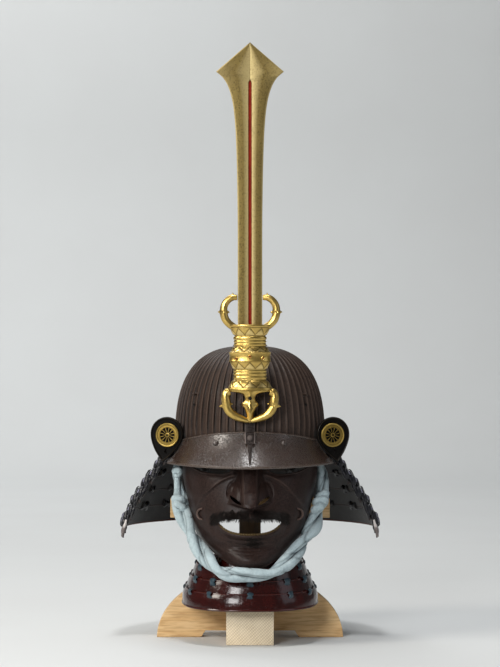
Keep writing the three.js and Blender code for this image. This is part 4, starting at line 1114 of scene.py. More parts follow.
@dataclass
class Bowl:
    """The ridged bowl: narrow iron plates, each with one turned-up edge, closed by a crown ring."""

    plates: int = 62
    half_width: float = 101.0
    half_length: float = 117.0
    rim_z: float = 268.0
    crown_z: float = 402.0
    power: float = 2.75
    wall: float = 2.4
    ridge: float = 2.4
    ridge_full_z: float = 296.0
    hole_level: float = 84.0  # degrees of the way up at which the hole in the crown begins
    columns_a_plate: int = 9
    rows: int = 46
    hole_radius: float = 12.8
    pin_x: float = 70.0
    pin_z: float = 337.0
    pin_profile: Pairs = (
        (2.9, -1.5), (2.9, 0.5), (1.7, 1.0), (1.6, 5.5), (2.1, 6.1), (2.1, 7.3), (1.2, 8.0), (0.05, 8.1),
    )
    cord_hole_profile: Pairs = ((1.9, -0.5), (1.9, 0.3), (1.2, 0.5), (0.9, -0.4), (0.05, -0.4))
    cord_hole_drop: float = 14.0
    # at each ninth of a plate: its place across the plate, its height, and how dark the painted shade beside
    # the step is
    rib: Route = (
        (0, 1, 0), (0.06, 0.97, 0), (0.11, 0.3, 0.55), (0.17, 0, 1), (0.27, 0.02, 0.35),
        (0.48, 0.06, 0), (0.68, 0.13, 0), (0.82, 0.34, 0), (0.91, 0.88, 0), (1, 1, 0),
    )

    def at(self, angle: Any, z: Any, offset: Any = 0.0) -> Array:
        """Points on the bowl before its ridges.

        Args:
            angle: from the front towards +X, in degrees.
            z: height.
            offset: how far out from the plates.

        Returns:
            The points.
        """
        rise = (np.asarray(z, float) - self.rim_z) / (self.crown_z - self.rim_z)
        reach = (1 - np.clip(rise, 0, 1) ** self.power) ** (1 / self.power)
        x = (self.half_width * reach + offset) * sin_deg(angle)
        return stacked(x, -(self.half_length * reach + offset) * cos_deg(angle), z)

    def rib_curve(self, tree: Tree, column: int, across: Socket) -> Socket:
        """One column of the rib's table, as straight stretches across a plate."""
        pairs = [(k / self.columns_a_plate, row[column]) for k, row in enumerate(self.rib)]
        curve = add_node(tree, "ShaderNodeFloatCurve", {"Value": across})
        line = curve.mapping.curves[0]
        line.points[0].location, line.points[-1].location = pairs[0], pairs[-1]
        for pair in pairs[1:-1]:
            line.points.new(*pair)
        for point in line.points:
            point.handle_type = "VECTOR"
        curve.mapping.update()
        return curve.outputs[0]

    def tree(self) -> GeometryTree:
        """The tree that turns a flat grid into the ridged bowl."""
        sizes = (
            "Plates", "Half Width", "Half Length", "Rim Height", "Rise", "Squareness", "Ridge",
            "Ridge Growth", "Hole Level",
        )
        kinds = {"Finish": "Material", **dict.fromkeys(sizes, "Float"), "Columns": "Int", "Rows": "Int"}
        nodes = GeometryTree("ridged_bowl", kinds)
        tree, given = nodes.tree, nodes.given
        grid = add_node(tree, "GeometryNodeMeshGrid", {
            "Size X": 1.0, "Size Y": 1.0, "Vertices X": given["Columns"], "Vertices Y": given["Rows"],
        })
        position = add_node(tree, "GeometryNodeInputPosition").outputs[0]
        split = add_node(tree, "ShaderNodeSeparateXYZ", {0: position}).outputs
        known: dict[str, Any] = {name: given[name] for name in sizes}
        known |= {"grid x": split[0], "grid y": split[1]}
        worked_out(tree, known, [
            ("round", "ADD", "grid x", 0.5), ("up", "ADD", "grid y", 0.5),
            ("plate count", "MULTIPLY", "round", "Plates"), ("nudged", "ADD", "plate count", 1e-4),
            ("plate", "FLOOR", "nudged"), ("raw", "SUBTRACT", "nudged", "plate"),
            ("across", "SUBTRACT", "raw", 1e-4),
        ])
        for column, name in enumerate(("place", "rib", "step")):
            known[name] = self.rib_curve(tree, column, known["across"])
        worked_out(tree, known, [
            ("turns", "ADD", "plate", "place"), ("share round", "DIVIDE", "turns", "Plates"),
            ("angle", "MULTIPLY", "share round", 2 * math.pi), ("eased up", "POWER", "up", 0.86),
            ("level", "MULTIPLY", "eased up", "Hole Level"), ("exponent", "DIVIDE", 2.0, "Squareness"),
            ("cos level", "COSINE", "level"), ("sin level", "SINE", "level"),
            ("reach", "POWER", "cos level", "exponent"), ("climb", "POWER", "sin level", "exponent"),
            ("raised z", "MULTIPLY", "climb", "Rise"), ("z", "ADD", "raised z", "Rim Height"),
            ("grown", "DIVIDE", "raised z", "Ridge Growth"), ("grown full", "MINIMUM", "grown", 1.0),
            ("from hole", "SUBTRACT", 1.0, "up"), ("near hole", "MULTIPLY", "from hole", 30.0),
            ("fade", "MINIMUM", "near hole", 1.0), ("rib grown", "MULTIPLY", "rib", "grown full"),
            ("rib faded", "MULTIPLY", "rib grown", "fade"), ("lift", "MULTIPLY", "rib faded", "Ridge"),
            ("wide", "ADD", "Half Width", "lift"), ("long", "ADD", "Half Length", "lift"),
            ("wide there", "MULTIPLY", "wide", "reach"), ("long there", "MULTIPLY", "long", "reach"),
            ("sin round", "SINE", "angle"), ("cos round", "COSINE", "angle"),
            ("x", "MULTIPLY", "wide there", "sin round"), ("minus y", "MULTIPLY", "long there", "cos round"),
            # the ribs' tops turn paler, partly as wear and partly as a painted highlight; the step column
            # paints a shade line beside each rib
            ("y", "MULTIPLY", "minus y", -1.0), ("above", "SUBTRACT", "rib", 0.72),
            ("worn", "MULTIPLY", "above", 2.2), ("worn and lit top", "MAXIMUM", "worn", 0.0),
            ("rubbed", "MULTIPLY", "worn and lit top", "grown full"), ("recess", "MULTIPLY", "step", "grown full"),
        ])
        place = add_node(tree, "ShaderNodeCombineXYZ", {k: known[axis] for k, axis in enumerate("xyz")})
        mesh = grid.outputs["Mesh"]
        for name in ("rubbed", "recess"):
            inputs = {"Geometry": mesh, "Name": name, "Value": known[name]}
            mesh = add_node(tree, "GeometryNodeStoreNamedAttribute", inputs, data_type="FLOAT").outputs[0]
        shaped = add_node(tree, "GeometryNodeSetPosition", {"Geometry": mesh, "Position": place.outputs[0]})
        inputs = {"Geometry": shaped.outputs[0], "Distance": 2e-5}
        nodes.end(add_node(tree, "GeometryNodeMergeByDistance", inputs).outputs[0])
        return nodes

    def build_plates(self) -> None:
        """Bakes the bowl, gives it its wall and settles it."""
        made = new_object("ridged_bowl", block((0, 0, 0), (1, 1, 1), 0.1))
        self.tree().run_on(made, {
            "Finish": BOWL_IRON.material(), "Plates": float(self.plates),
            "Half Width": self.half_width * MM, "Half Length": self.half_length * MM,
            "Rim Height": self.rim_z * MM, "Rise": (self.crown_z - self.rim_z) * MM,
            "Squareness": self.power, "Ridge": self.ridge * MM,
            "Ridge Growth": (self.ridge_full_z - self.rim_z) * MM,
            "Hole Level": math.radians(self.hole_level),
            "Columns": self.plates * self.columns_a_plate + 1, "Rows": self.rows,
        })
        middle = made.data.polygons[len(made.data.polygons) // 2]
        if middle.normal.dot(middle.center - Vector((0, 0, self.rim_z * MM))) < 0:
            made.data.flip_normals()
        smooth(made.data, 50)
        shell = made.modifiers.new("wall", "SOLIDIFY")
        shell.thickness, shell.offset = self.wall * MM, -1.0
        settle(baked(made), BOWL_IRON, ["bowl"])

    def build_crown_ring(self) -> None:
        """The layered crown ring: a scalloped plate, a beaded row and a plain lip round the hole."""
        z, inner = self.crown_z, self.hole_radius

        def petals(angle: Array, height: Array) -> Array:
            """Eight shallow scallops, below the beads only."""
            return 1 - 0.07 * (1 - np.abs(np.cos(4 * angle))) * (height < z + 2)

        def beads(angle: Array, height: Array) -> Array:
            """Twenty-four beads on what stands above the plate."""
            return 1 + 0.025 * np.cos(24 * angle) * (height > z + 2)

        plate = [(inner, -1.2), (23.4, -0.4), (24, 0.4), (23.2, 1.1), (19, 1.9), (inner, 2.2)]
        rope = [(inner, 1.6), (19, 1.6), (19.6, 2.4), (18.6, 3.2), (16.5, 3.4), (inner, 3.3)]
        lip = [(12.4, -1.5), (16.2, 2.6), (16.2, 3.9), (15.2, 4.5), (13.6, 4.5), (12.6, 3.9)]
        layers = ((plate, 96, petals), (rope, 144, beads), (lip, 48, None))
        rings = [revolve(np.add(rows, (0, z)), sides, lobes, Ends.LOOP) for rows, sides, lobes in layers]
        piece("crown_ring_layers", rings, PEAK_IRON, ["crown_ring"])

    def build_pins(self) -> None:
        """The two cord pins high on the sides, each in a small washer, with the hole under each."""
        angle = math.degrees(math.asin(self.pin_x / (self.half_width * 0.93)))
        pins, holes = [], []
        for sign in (-1, 1):
            root = self.at(sign * angle, self.pin_z, self.ridge * 0.6)
            pins.append(turned_to(revolve(self.pin_profile, 16), root, level(root)))
            under = self.at(sign * angle * 1.03, self.pin_z - self.cord_hole_drop, self.ridge * 0.45)
            hole = turned_to(revolve(self.cord_hole_profile, 14), under, level(under))
            # the hole is painted dark as the shade inside it
            holes.append(hole.marked("recess", 1.0))
        piece("cord_pins", pins, BOWL_IRON, ["cord_pin_left", "cord_pin_right"])
        piece("cord_holes", holes, BOWL_IRON)

    def build(self) -> None:
        """Builds the whole bowl."""
        self.build_plates()
        self.build_crown_ring()
        self.build_pins()


# Peak


@dataclass
class Peak:
    """The peak: a forged sheet with a rolled rim, two dome rivets and the crest's bracket."""

    bowl: Bowl
    half_angle: float = 60.0
    top_z: float = 288.0
    top_side_z: float = 275.0
    edge_x: float = 131.3
    edge_depth: float = 196.0
    edge_offset: float = 46.0
    edge_z: float = 241.3
    edge_side_z: float = 243.7
    wall: float = 1.9
    stand_off: float = 3.1
    belly: float = 3.5
    rim: float = 1.75
    root_line: float = 1.25
    rivet_x: float = 46.0
    rivet_z: float = 274.5
    knob_z: float = 280.2
    bracket_half: Curve = Curve((
        (246, 0.6), (249, 1.5), (270.5, 3.1), (272.4, 3.2), (273, 6.6), (287.6, 7), (288.4, 6.1), (321, 6),
    ))
    bracket_thick: Curve = Curve((
        (246, 1.4), (270, 3.0), (272.4, 3.2), (273, 3.6), (287.4, 3.8), (288.4, 2.5), (321, 2.4),
    ))
    bracket_section: Pairs = (
        (-1, 0), (-1, 0.7), (-0.9, 0.93), (-0.82, 0.96), (0, 1.06), (0.82, 0.96), (0.9, 0.93), (1, 0.7),
        (1, 0),
    )

    def at(self, angle: Any, share: Any) -> Array:
        """Points of the peak, by angle from the front and the share of the way to its edge."""
        angle, share = np.asarray(angle, float), np.asarray(share, float)
        side = 1 - cos_deg(angle * 90 / self.half_angle)
        root = self.bowl.at(angle, lerp(self.top_z, self.top_side_z, side), self.stand_off)
        edge = stacked(
            self.edge_x * sin_deg(angle), self.edge_offset - self.edge_depth * cos_deg(angle),
            lerp(self.edge_z, self.edge_side_z, side),
        )
        point = lerp(root, edge, share[..., None])
        inward = unit(point * (-1, -1, 0))
        return point + inward * (self.belly * 4 * share * (1 - share))[..., None]

    def share_at(self, z: Any) -> Any:
        """How far down the peak's middle line a height is."""
        return (self.top_z - np.asarray(z, float)) / (self.top_z - self.edge_z)

    def build_sheet(self) -> None:
        """The sheet, its rolled rim and the thin raised line where it meets the bowl."""
        angles = np.linspace(-self.half_angle, self.half_angle, 141)
        shares = np.concatenate([np.linspace(0, 0.9, 30), [0.94, 0.97, 1.0]])
        grid = self.at(angles[:, None], shares[None, :])
        away = grid * (1, 1, 0)
        near_end = eased(np.abs(angles) / self.half_angle, 0.975, 1.0)[:, None]
        near_edge = np.maximum(near_end, eased(shares, 0.95, 1)[None, :])
        sheet = wall(grid, away, self.wall, marks={"rubbed": near_edge * 0.25})
        down = np.linspace(0.0, 0.96, 24)
        half = self.half_angle - 0.6
        front = np.linspace(-half, half, 160)[2:-2]
        path = np.vstack([
            self.at(np.full(24, -half), down), self.at(front, np.full(156, 0.985)),
            self.at(np.full(24, half), down[::-1]),
        ])
        path = smooth_path(path - level(path) * self.wall / 2, 230)
        bead = sweep(path, self.rim, 10).marked("rubbed", 0.22)
        root = self.at(np.linspace(-half, half, 140), np.full(140, 0.012))
        lip = sweep(root, self.root_line, 8).marked("rubbed", 0.2)
        piece("peak_sheet", [sheet, bead, lip], PEAK_IRON, ["peak"])

    def build_rivets(self, scatter: Scatter) -> None:
        """The two dome rivets on the sheet and the one on the bracket."""
        rows = []
        for sign in (-1, 1):
            angle = sign * math.degrees(math.asin(self.rivet_x / (self.bowl.half_width + 10)))
            share = float(self.share_at(self.rivet_z))
            point, outward = self.standing(angle, share)
            rows.append((point + outward * 0.1, outward, (1, 0, 0), 1.0))
        head = dome(4, 2.9, 20, dimple=0.35)
        names = ["peak_rivet_left", "peak_rivet_right"]
        scatter.set_out("peak_rivets", head, rows, PEAK_IRON, names)

    def standing(self, angle: float, share: float) -> tuple[Array, Array]:
        """A point of the sheet and the direction square to it."""
        step = np.array([-0.01, 0, 0.01])
        grid = self.at(angle + step[:, None], share + step)
        return grid[1, 1], normals_of(grid, grid * (1, 1, 0))[1, 1]

    def back_y(self, z: Any) -> Array:
        """How far forward the face behind the bracket comes at a height."""
        z = np.asarray(z, float)
        on_sheet = self.at(np.zeros_like(z), np.clip(self.share_at(z), 0, 1))[..., 1] - 0.5
        flat = self.bowl.at(0, self.top_z)[1] - self.stand_off - 0.6
        return np.where(z > self.top_z, flat, on_sheet)

    def build_bracket(self) -> None:
        """The crest's bracket: a bar, a thicker plate with its own edge, and a tapering spike."""
        steps = [272.4, 272.7, 273, 273.4, 287.2, 287.7, 288.1, 288.4]
        z = np.unique(np.concatenate([np.linspace(246, 321, 50), steps]))[:, None]
        side, front = np.array(self.bracket_section).T[:, None, :]
        x = self.bracket_half(z) * side
        on_plate = eased(-np.abs(z - 280), -8.5, -6.5)
        rubbed = (np.abs(side) > 0.88) * (0.35 + 0.65 * on_plate) * 0.9
        rings = stacked(x, self.back_y(z) - self.bracket_thick(z) * front, z)
        slope = unit([0, self.back_y(287.5) - self.back_y(273), 14.5])
        middle = (0, float(self.back_y(self.knob_z)) - 3.9, self.knob_z)
        knob = turned_to(dome(4, 3.1, 20), middle, (0, -slope[2], slope[1])).marked("rubbed", 0.3)
        bar = ring_solid(rings, {"rubbed": rubbed + 0 * x})
        piece("bracket_bar", [bar], BRACKET_IRON, ["crest_bracket"])
        piece("bracket_knob", [knob], BRACKET_IRON, ["bracket_rivet"])

    def build(self, scatter: Scatter) -> None:
        """Builds the peak and what is riveted to it."""
        self.build_sheet()
        self.build_rivets(scatter)
        self.build_bracket()


# Crest


@dataclass
class Crest:
    """The crest: a broad sword blade standing in a thunderbolt hilt."""

    y: float = -129.0
    thickness: float = 2.4
    outline: Curve = Curve((
        (408, 12), (430, 12.2), (430.4, 16.2), (550, 16.3), (628, 17.2), (680, 18.8), (704, 20.4),
        (720, 22.2), (734, 25), (748, 29.8), (758, 36), (766, 45),
    ))
    corner_z: float = 766.0
    corner_half: float = 45.0
    tip_z: float = 805.0
    groove_half: float = 2.2
    groove_bottom: float = 431.0
    groove_top: float = 752.0
    groove_point: float = 756.0
    flatness: float = 0.5
    teeth: int = 10
    profile: Curve = Curve((
        (344.5, 30.0), (346.5, 29.8), (348, 28.6), (352, 26.6), (355.5, 24.2), (357.4, 22.2), (358.2, 21.2),
        (360.6, 22.3), (363, 21.3), (365.2, 22.6), (367.4, 21.6), (369.4, 22.4), (370.8, 21.4), (372, 22.4),
        (377.5, 25.0), (381.2, 26.6), (382.2, 27.9), (384.6, 27.3), (388.5, 26.9), (392.2, 27.4),
        (394.2, 28.0), (395.2, 26.2), (398.5, 24.2), (401.6, 21.8), (402.6, 20.6), (404.4, 21.9),
        (406.2, 20.8), (408.4, 21.8), (410.2, 20.7), (412.4, 22.2), (414.4, 21.8), (415.6, 20.4),
        (418.5, 22.8), (422, 24.8), (426.8, 26.8), (427.8, 27.9), (429, 28.6), (430.6, 28.4),
    ))
    bands: Pairs = ((347.6, 356.6), (372, 381.4), (395, 401.4), (416.4, 427))  # the zigzags' lower and upper
    lip: Pairs = ((27.2, 430.9), (25.6, 430.5), (24.8, 428.6))
    # claws as x, z and radius; spikes as the root's x and z, the tip's x and z, and the root's radius
    upper_claw: Route = (
        (20, 426.5, 4.6), (27.6, 431.8, 4.8), (32.6, 438, 5.0), (35.0, 447.5, 5.1), (33.8, 456.6, 4.8),
        (29.2, 463.2, 4.5), (23.6, 466.6, 4.2), (16.8, 466.8, 3.2),
    )
    lower_claw: Route = (
        (26, 341.8, 5.0), (30.9, 340.6, 5.2), (32.6, 335.4, 5.7), (31.8, 330, 5.9), (31.2, 325, 5.5),
        (30.2, 320.8, 5.6), (26.8, 315.2, 5.5), (21.0, 310.2, 5.1), (13.3, 306.8, 4.6), (6.5, 304.4, 3.6),
        (1.5, 302.6, 2.3),
    )
    spikes: tuple[tuple[float, float, float, float, float], ...] = (
        (33.2, 447.5, 26.2, 447.3, 4.4), (38.0, 447.5, 43.2, 447.6, 3.8), (23.5, 468.5, 22.2, 474.4, 2.0),
        (30.4, 325.2, 21.8, 325.8, 4.6), (35.0, 323.4, 41.6, 322.2, 3.6),
    )
    point_half: Curve = Curve((
        (299.8, 0.5), (303, 2.2), (308, 4.2), (313, 5.4), (319.5, 8.0), (324.6, 11.6), (326.4, 11.4),
        (329, 8.4), (333, 7.0), (336, 7.8), (338.5, 10.5), (340.6, 18), (342.5, 29), (346, 30),
    ))
    point_depth: Curve = Curve((
        (299.8, 0.8), (304, 3.2), (312, 5.6), (318, 7.0), (324, 6.2), (329, 5.4), (346, 5.0),
    ))
    diamond_z: float = 319.5
    eye_z: float = 333.1
    knob_places: Pairs = ((35.4, 447.6), (31.8, 324.0))
    knob_profile: Pairs = ((2.2, -0.8), (2.2, 0.7), (1.6, 1.4), (0.9, 1.2), (0.05, 1.0))
    eye_profile: Pairs = ((2.35, -0.6), (2.35, 0.15), (2.0, 0.3), (0.05, 0.2))
    stud_places: Pairs = ((-18.0, 385.5), (0.0, 388.5), (17.0, 386.5))
    stud_profile: Pairs = (
        (2.7, -0.4), (2.8, 0.6), (2.3, 1.5), (1.7, 1.9), (1.2, 1.5), (1.0, 0.9), (0.05, 0.8),
    )

    def half_at(self, z: Any) -> Array:
        """The blade's half width at a height."""
        z = np.asarray(z, float)
        tip = self.corner_half * (self.tip_z - z) / (self.tip_z - self.corner_z)
        return np.where(z > self.corner_z, tip, self.outline(z))

    def groove_at(self, z: Array, least: float) -> Array:
        """The groove's half width at a height, at least a share of its full one."""
        length = self.groove_point - self.groove_top
        return self.groove_half * np.clip((self.groove_point - z) / length, least, 1)

    def build_blade(self) -> None:
        """The blade with bevelled edges and a sunk groove, and the lacquer that fills the groove."""
        z = np.unique(np.concatenate([
            np.linspace(409, 430, 4), [430.4], np.linspace(431.5, 748, 90), np.linspace(748, 756, 12),
            np.linspace(756, 766, 8), [766.4], np.linspace(767, 804.6, 30),
        ]))
        half, flat = self.half_at(z), 0 * z
        front, back = self.y - self.thickness / 2, self.y + self.thickness / 2
        groove = np.where(z < self.groove_bottom, 0, self.groove_at(z, 0))
        edge = np.maximum(half - 2.4, half * 0.55)
        groove = np.minimum(groove, half * 0.4)
        sunk = np.where(groove > 0.05, 1.0, 0.0)
        columns = [(flat, sunk), (groove * 0.97, sunk), (groove + 0.03, flat), (groove + 0.35, flat - 0.12)]
        columns += [(lerp(groove + 0.4, edge, 0.5), flat), (edge, flat), (half - 0.1, 0.8), (half, 1.2)]
        right = [(x, front + depth) for x, depth in columns]
        ring = [(-x, y) for x, y in reversed(right[1:])] + right
        ring += [(half - 0.1, back - 0.8), (edge, back), (-edge, back), (0.1 - half, back - 0.8)]
        rings = np.stack([stacked(x, y, z) for x, y in ring], axis=1)
        across = np.abs(rings[..., 0])
        lip = np.abs(across - groove[:, None] - 0.35) < 0.01
        rubbed = eased(across / half[:, None], 0.9, 1.0) * 0.8 + lip * 0.9
        blade = ring_solid(rings, {"rubbed": rubbed})
        piece("crest_blade_plate", [blade], BLADE_BRASS, ["crest_blade"], crease=25)
        rows = np.linspace(self.groove_bottom + 0.4, self.groove_point - 0.4, 60)
        room = self.groove_at(rows, 0.08) - 0.15
        section = [(-1, 0.95), (-1, 0.35), (-0.5, 0.62), (0, 0.7), (0.5, 0.62), (1, 0.35), (1, 0.95)]
        inlay = np.stack([stacked(room * side, front + depth, rows) for side, depth in section], axis=1)
        piece("groove_lacquer", [ring_solid(inlay)], RED_LACQUER, ["blade_groove"])

    def engraved(self, angle: Array, z: Array) -> tuple[Array, Array]:
        """The chasing on the hilt: how deep it is cut, and how far each tooth's field is raised."""
        saw = np.abs(((angle / (2 * math.pi) * self.teeth) % 1) - 0.5) * 2
        cut, raised = np.zeros_like(z), np.zeros_like(z)
        for low, high in self.bands:
            line = low + 0.8 + (high - low - 1.6) * saw
            inside = (z > low - 0.5) & (z < high + 0.5)
            cut += bell((z - line) / 0.75) * inside
            cut += bell((z - low) / 0.35) * 0.8 + bell((z - high) / 0.35) * 0.8
            raised += eased(line - z, 0.4, 2.2) * inside
        return np.clip(cut, 0, 1), raised

    def hilt_ring(self, radius: Array, angle: Array, z: Any) -> Array:
        """Points on a flattened ring of the hilt."""
        return stacked(radius * np.sin(angle), self.y - self.flatness * radius * np.cos(angle), z)

    def hilt_body(self) -> Solid:
        """The turned and flattened body with its chased bands and its inner lip."""
        z, angle = np.linspace(344.5, 430.6, 210)[:, None], all_round(160)[None, :]
        cut, raised = self.engraved(angle, z + 0 * angle)
        body = self.hilt_ring(self.profile(z) - 0.55 * cut + 0.35 * raised, angle, z)
        radius, height = np.array(self.lip).T[:, :, None]
        rings = np.concatenate([body, self.hilt_ring(radius, angle, height)])
        lip = np.zeros((len(self.lip), angle.size))
        # the cut lines are marked for painted shade; the raised fields for paler worn gold
        return ring_solid(rings, {
            "recess": np.vstack([np.clip(cut * 1.1, 0, 1), lip]),
            "rubbed": np.vstack([np.clip(raised * 0.5 * (1 - cut), 0, 1), lip + 0.4]),
        })

    def claw(self, spine: Route, count: int) -> Solid:
        """A rounded bar in the crest's plane, through rows of x, z and radius."""
        x, z, radius = np.array(spine, float).T
        thick = np.interp(np.linspace(0, 1, count), np.linspace(0, 1, len(x)), radius)
        return sweep(smooth_path(stacked(x, self.y, z), count), thick + 0.35, 14, up=(0, -1, 0))

    def spike(self, x0: float, z0: float, x1: float, z1: float, radius: float) -> Solid:
        """A small cone in the crest's plane from a root to a tip."""
        start, way = np.array([x0, self.y, z0]), np.array([x1 - x0, 0, z1 - z0])
        length = float(np.linalg.norm(way))
        cone = [(radius * 0.6, -1.0), (radius, 0), (radius * 0.45, length * 0.55), (0.15, length)]
        return turned_to(revolve(cone, 12), start, way)

    def claws(self) -> list[Solid]:
        """Upper and lower claws, their spikes and the faceted point between the lower ones."""
        right = [self.claw(self.upper_claw, 64), self.claw(self.lower_claw, 72)]
        right += [self.spike(*spike) for spike in self.spikes]
        return right + [solid.mirrored() for solid in right] + [self.point()]

    def point(self) -> Solid:
        """The faceted middle point under the hilt, broad above, waisted, then a long diamond."""
        z = np.linspace(299.8, 346, 84)[:, None]
        front = [(-1, 0), (-0.8, 0.42), (-0.2, 0.92), (0, 1), (0.2, 0.92), (0.8, 0.42), (1, 0)]
        side, depth = np.array([*front, (0.86, -0.5), (0, -0.9), (-0.86, -0.5)]).T[:, None, :]
        return ring_solid(stacked(self.point_half(z) * side, self.y - self.point_depth(z) * depth, z))

    def build_hilt(self) -> None:
        """The hilt: its chased body, with the claws melted together as one casting, and a dark disc as the
        painted shade in its eye hole.
        """
        piece("hilt_body", [self.hilt_body()], GILT, ["crest_hilt"])
        casting = new_object("hilt_claws", joined(self.claws()))
        melt = casting.modifiers.new("melt", "REMESH")
        melt.mode, melt.voxel_size, melt.use_smooth_shade = "VOXEL", 0.55 * MM, True
        soften = casting.modifiers.new("soften", "SMOOTH")
        soften.factor, soften.iterations = 0.5, 5
        baked(casting)
        mesh = casting.data
        places = np.zeros(len(mesh.vertices) * 3, np.float32)
        mesh.vertices.foreach_get("co", places)
        x, _, z = (places.reshape(-1, 3) / MM).T
        in_diamond = np.abs(x) / 4.2 + np.abs(z - self.diamond_z) / 6.5 < 1
        in_eye = np.hypot(x, z - self.eye_z) < 2.4
        # the diamond takes a darker tone of its own; the eye hole is painted dark as the shade inside it
        set_mark(mesh, "recess", in_diamond * 0.62 + in_eye * 3.0)
        settle(casting, GILT)
        forward = (0, -1, 0)
        eye = turned_to(revolve(self.eye_profile, 20), (0, self.y - 5.4, self.eye_z), forward)
        piece("hilt_eye", [eye], EYE_HOLE_SHADE)
        knob = revolve(self.knob_profile, 16)
        piece("claw_knobs", [
            turned_to(knob, (sign * x, self.y - 4.3, z), forward)
            for x, z in self.knob_places for sign in (-1, 1)
        ], GILT)

    def build_studs(self, scatter: Scatter) -> None:
        """The three studs round the middle band, each with a red sunk centre."""
        studs, hearts = [], []
        for x, z in self.stud_places:
            depth = self.flatness * math.sqrt(float(self.profile(z)) ** 2 - x * x)
            normal = unit([x * self.flatness, -depth / self.flatness, 0])
            place = np.array([x, self.y - depth, z])
            studs.append((place, normal, (1, 0, 0), 1.0))
            hearts.append((place + normal * 1.2, normal, (1, 0, 0), 1.0))
        names = [f"hilt_stud_{k + 1}" for k in range(len(studs))]
        scatter.set_out("hilt_studs", revolve(self.stud_profile, 18), studs, GILT, names)
        scatter.set_out("hilt_stud_hearts", dome(1.15, 0.5, 12), hearts, RED_LACQUER)

    def build(self, scatter: Scatter) -> None:
        """Builds the crest."""
        self.build_blade()
        self.build_hilt()
        self.build_studs(scatter)


# Turn-backs


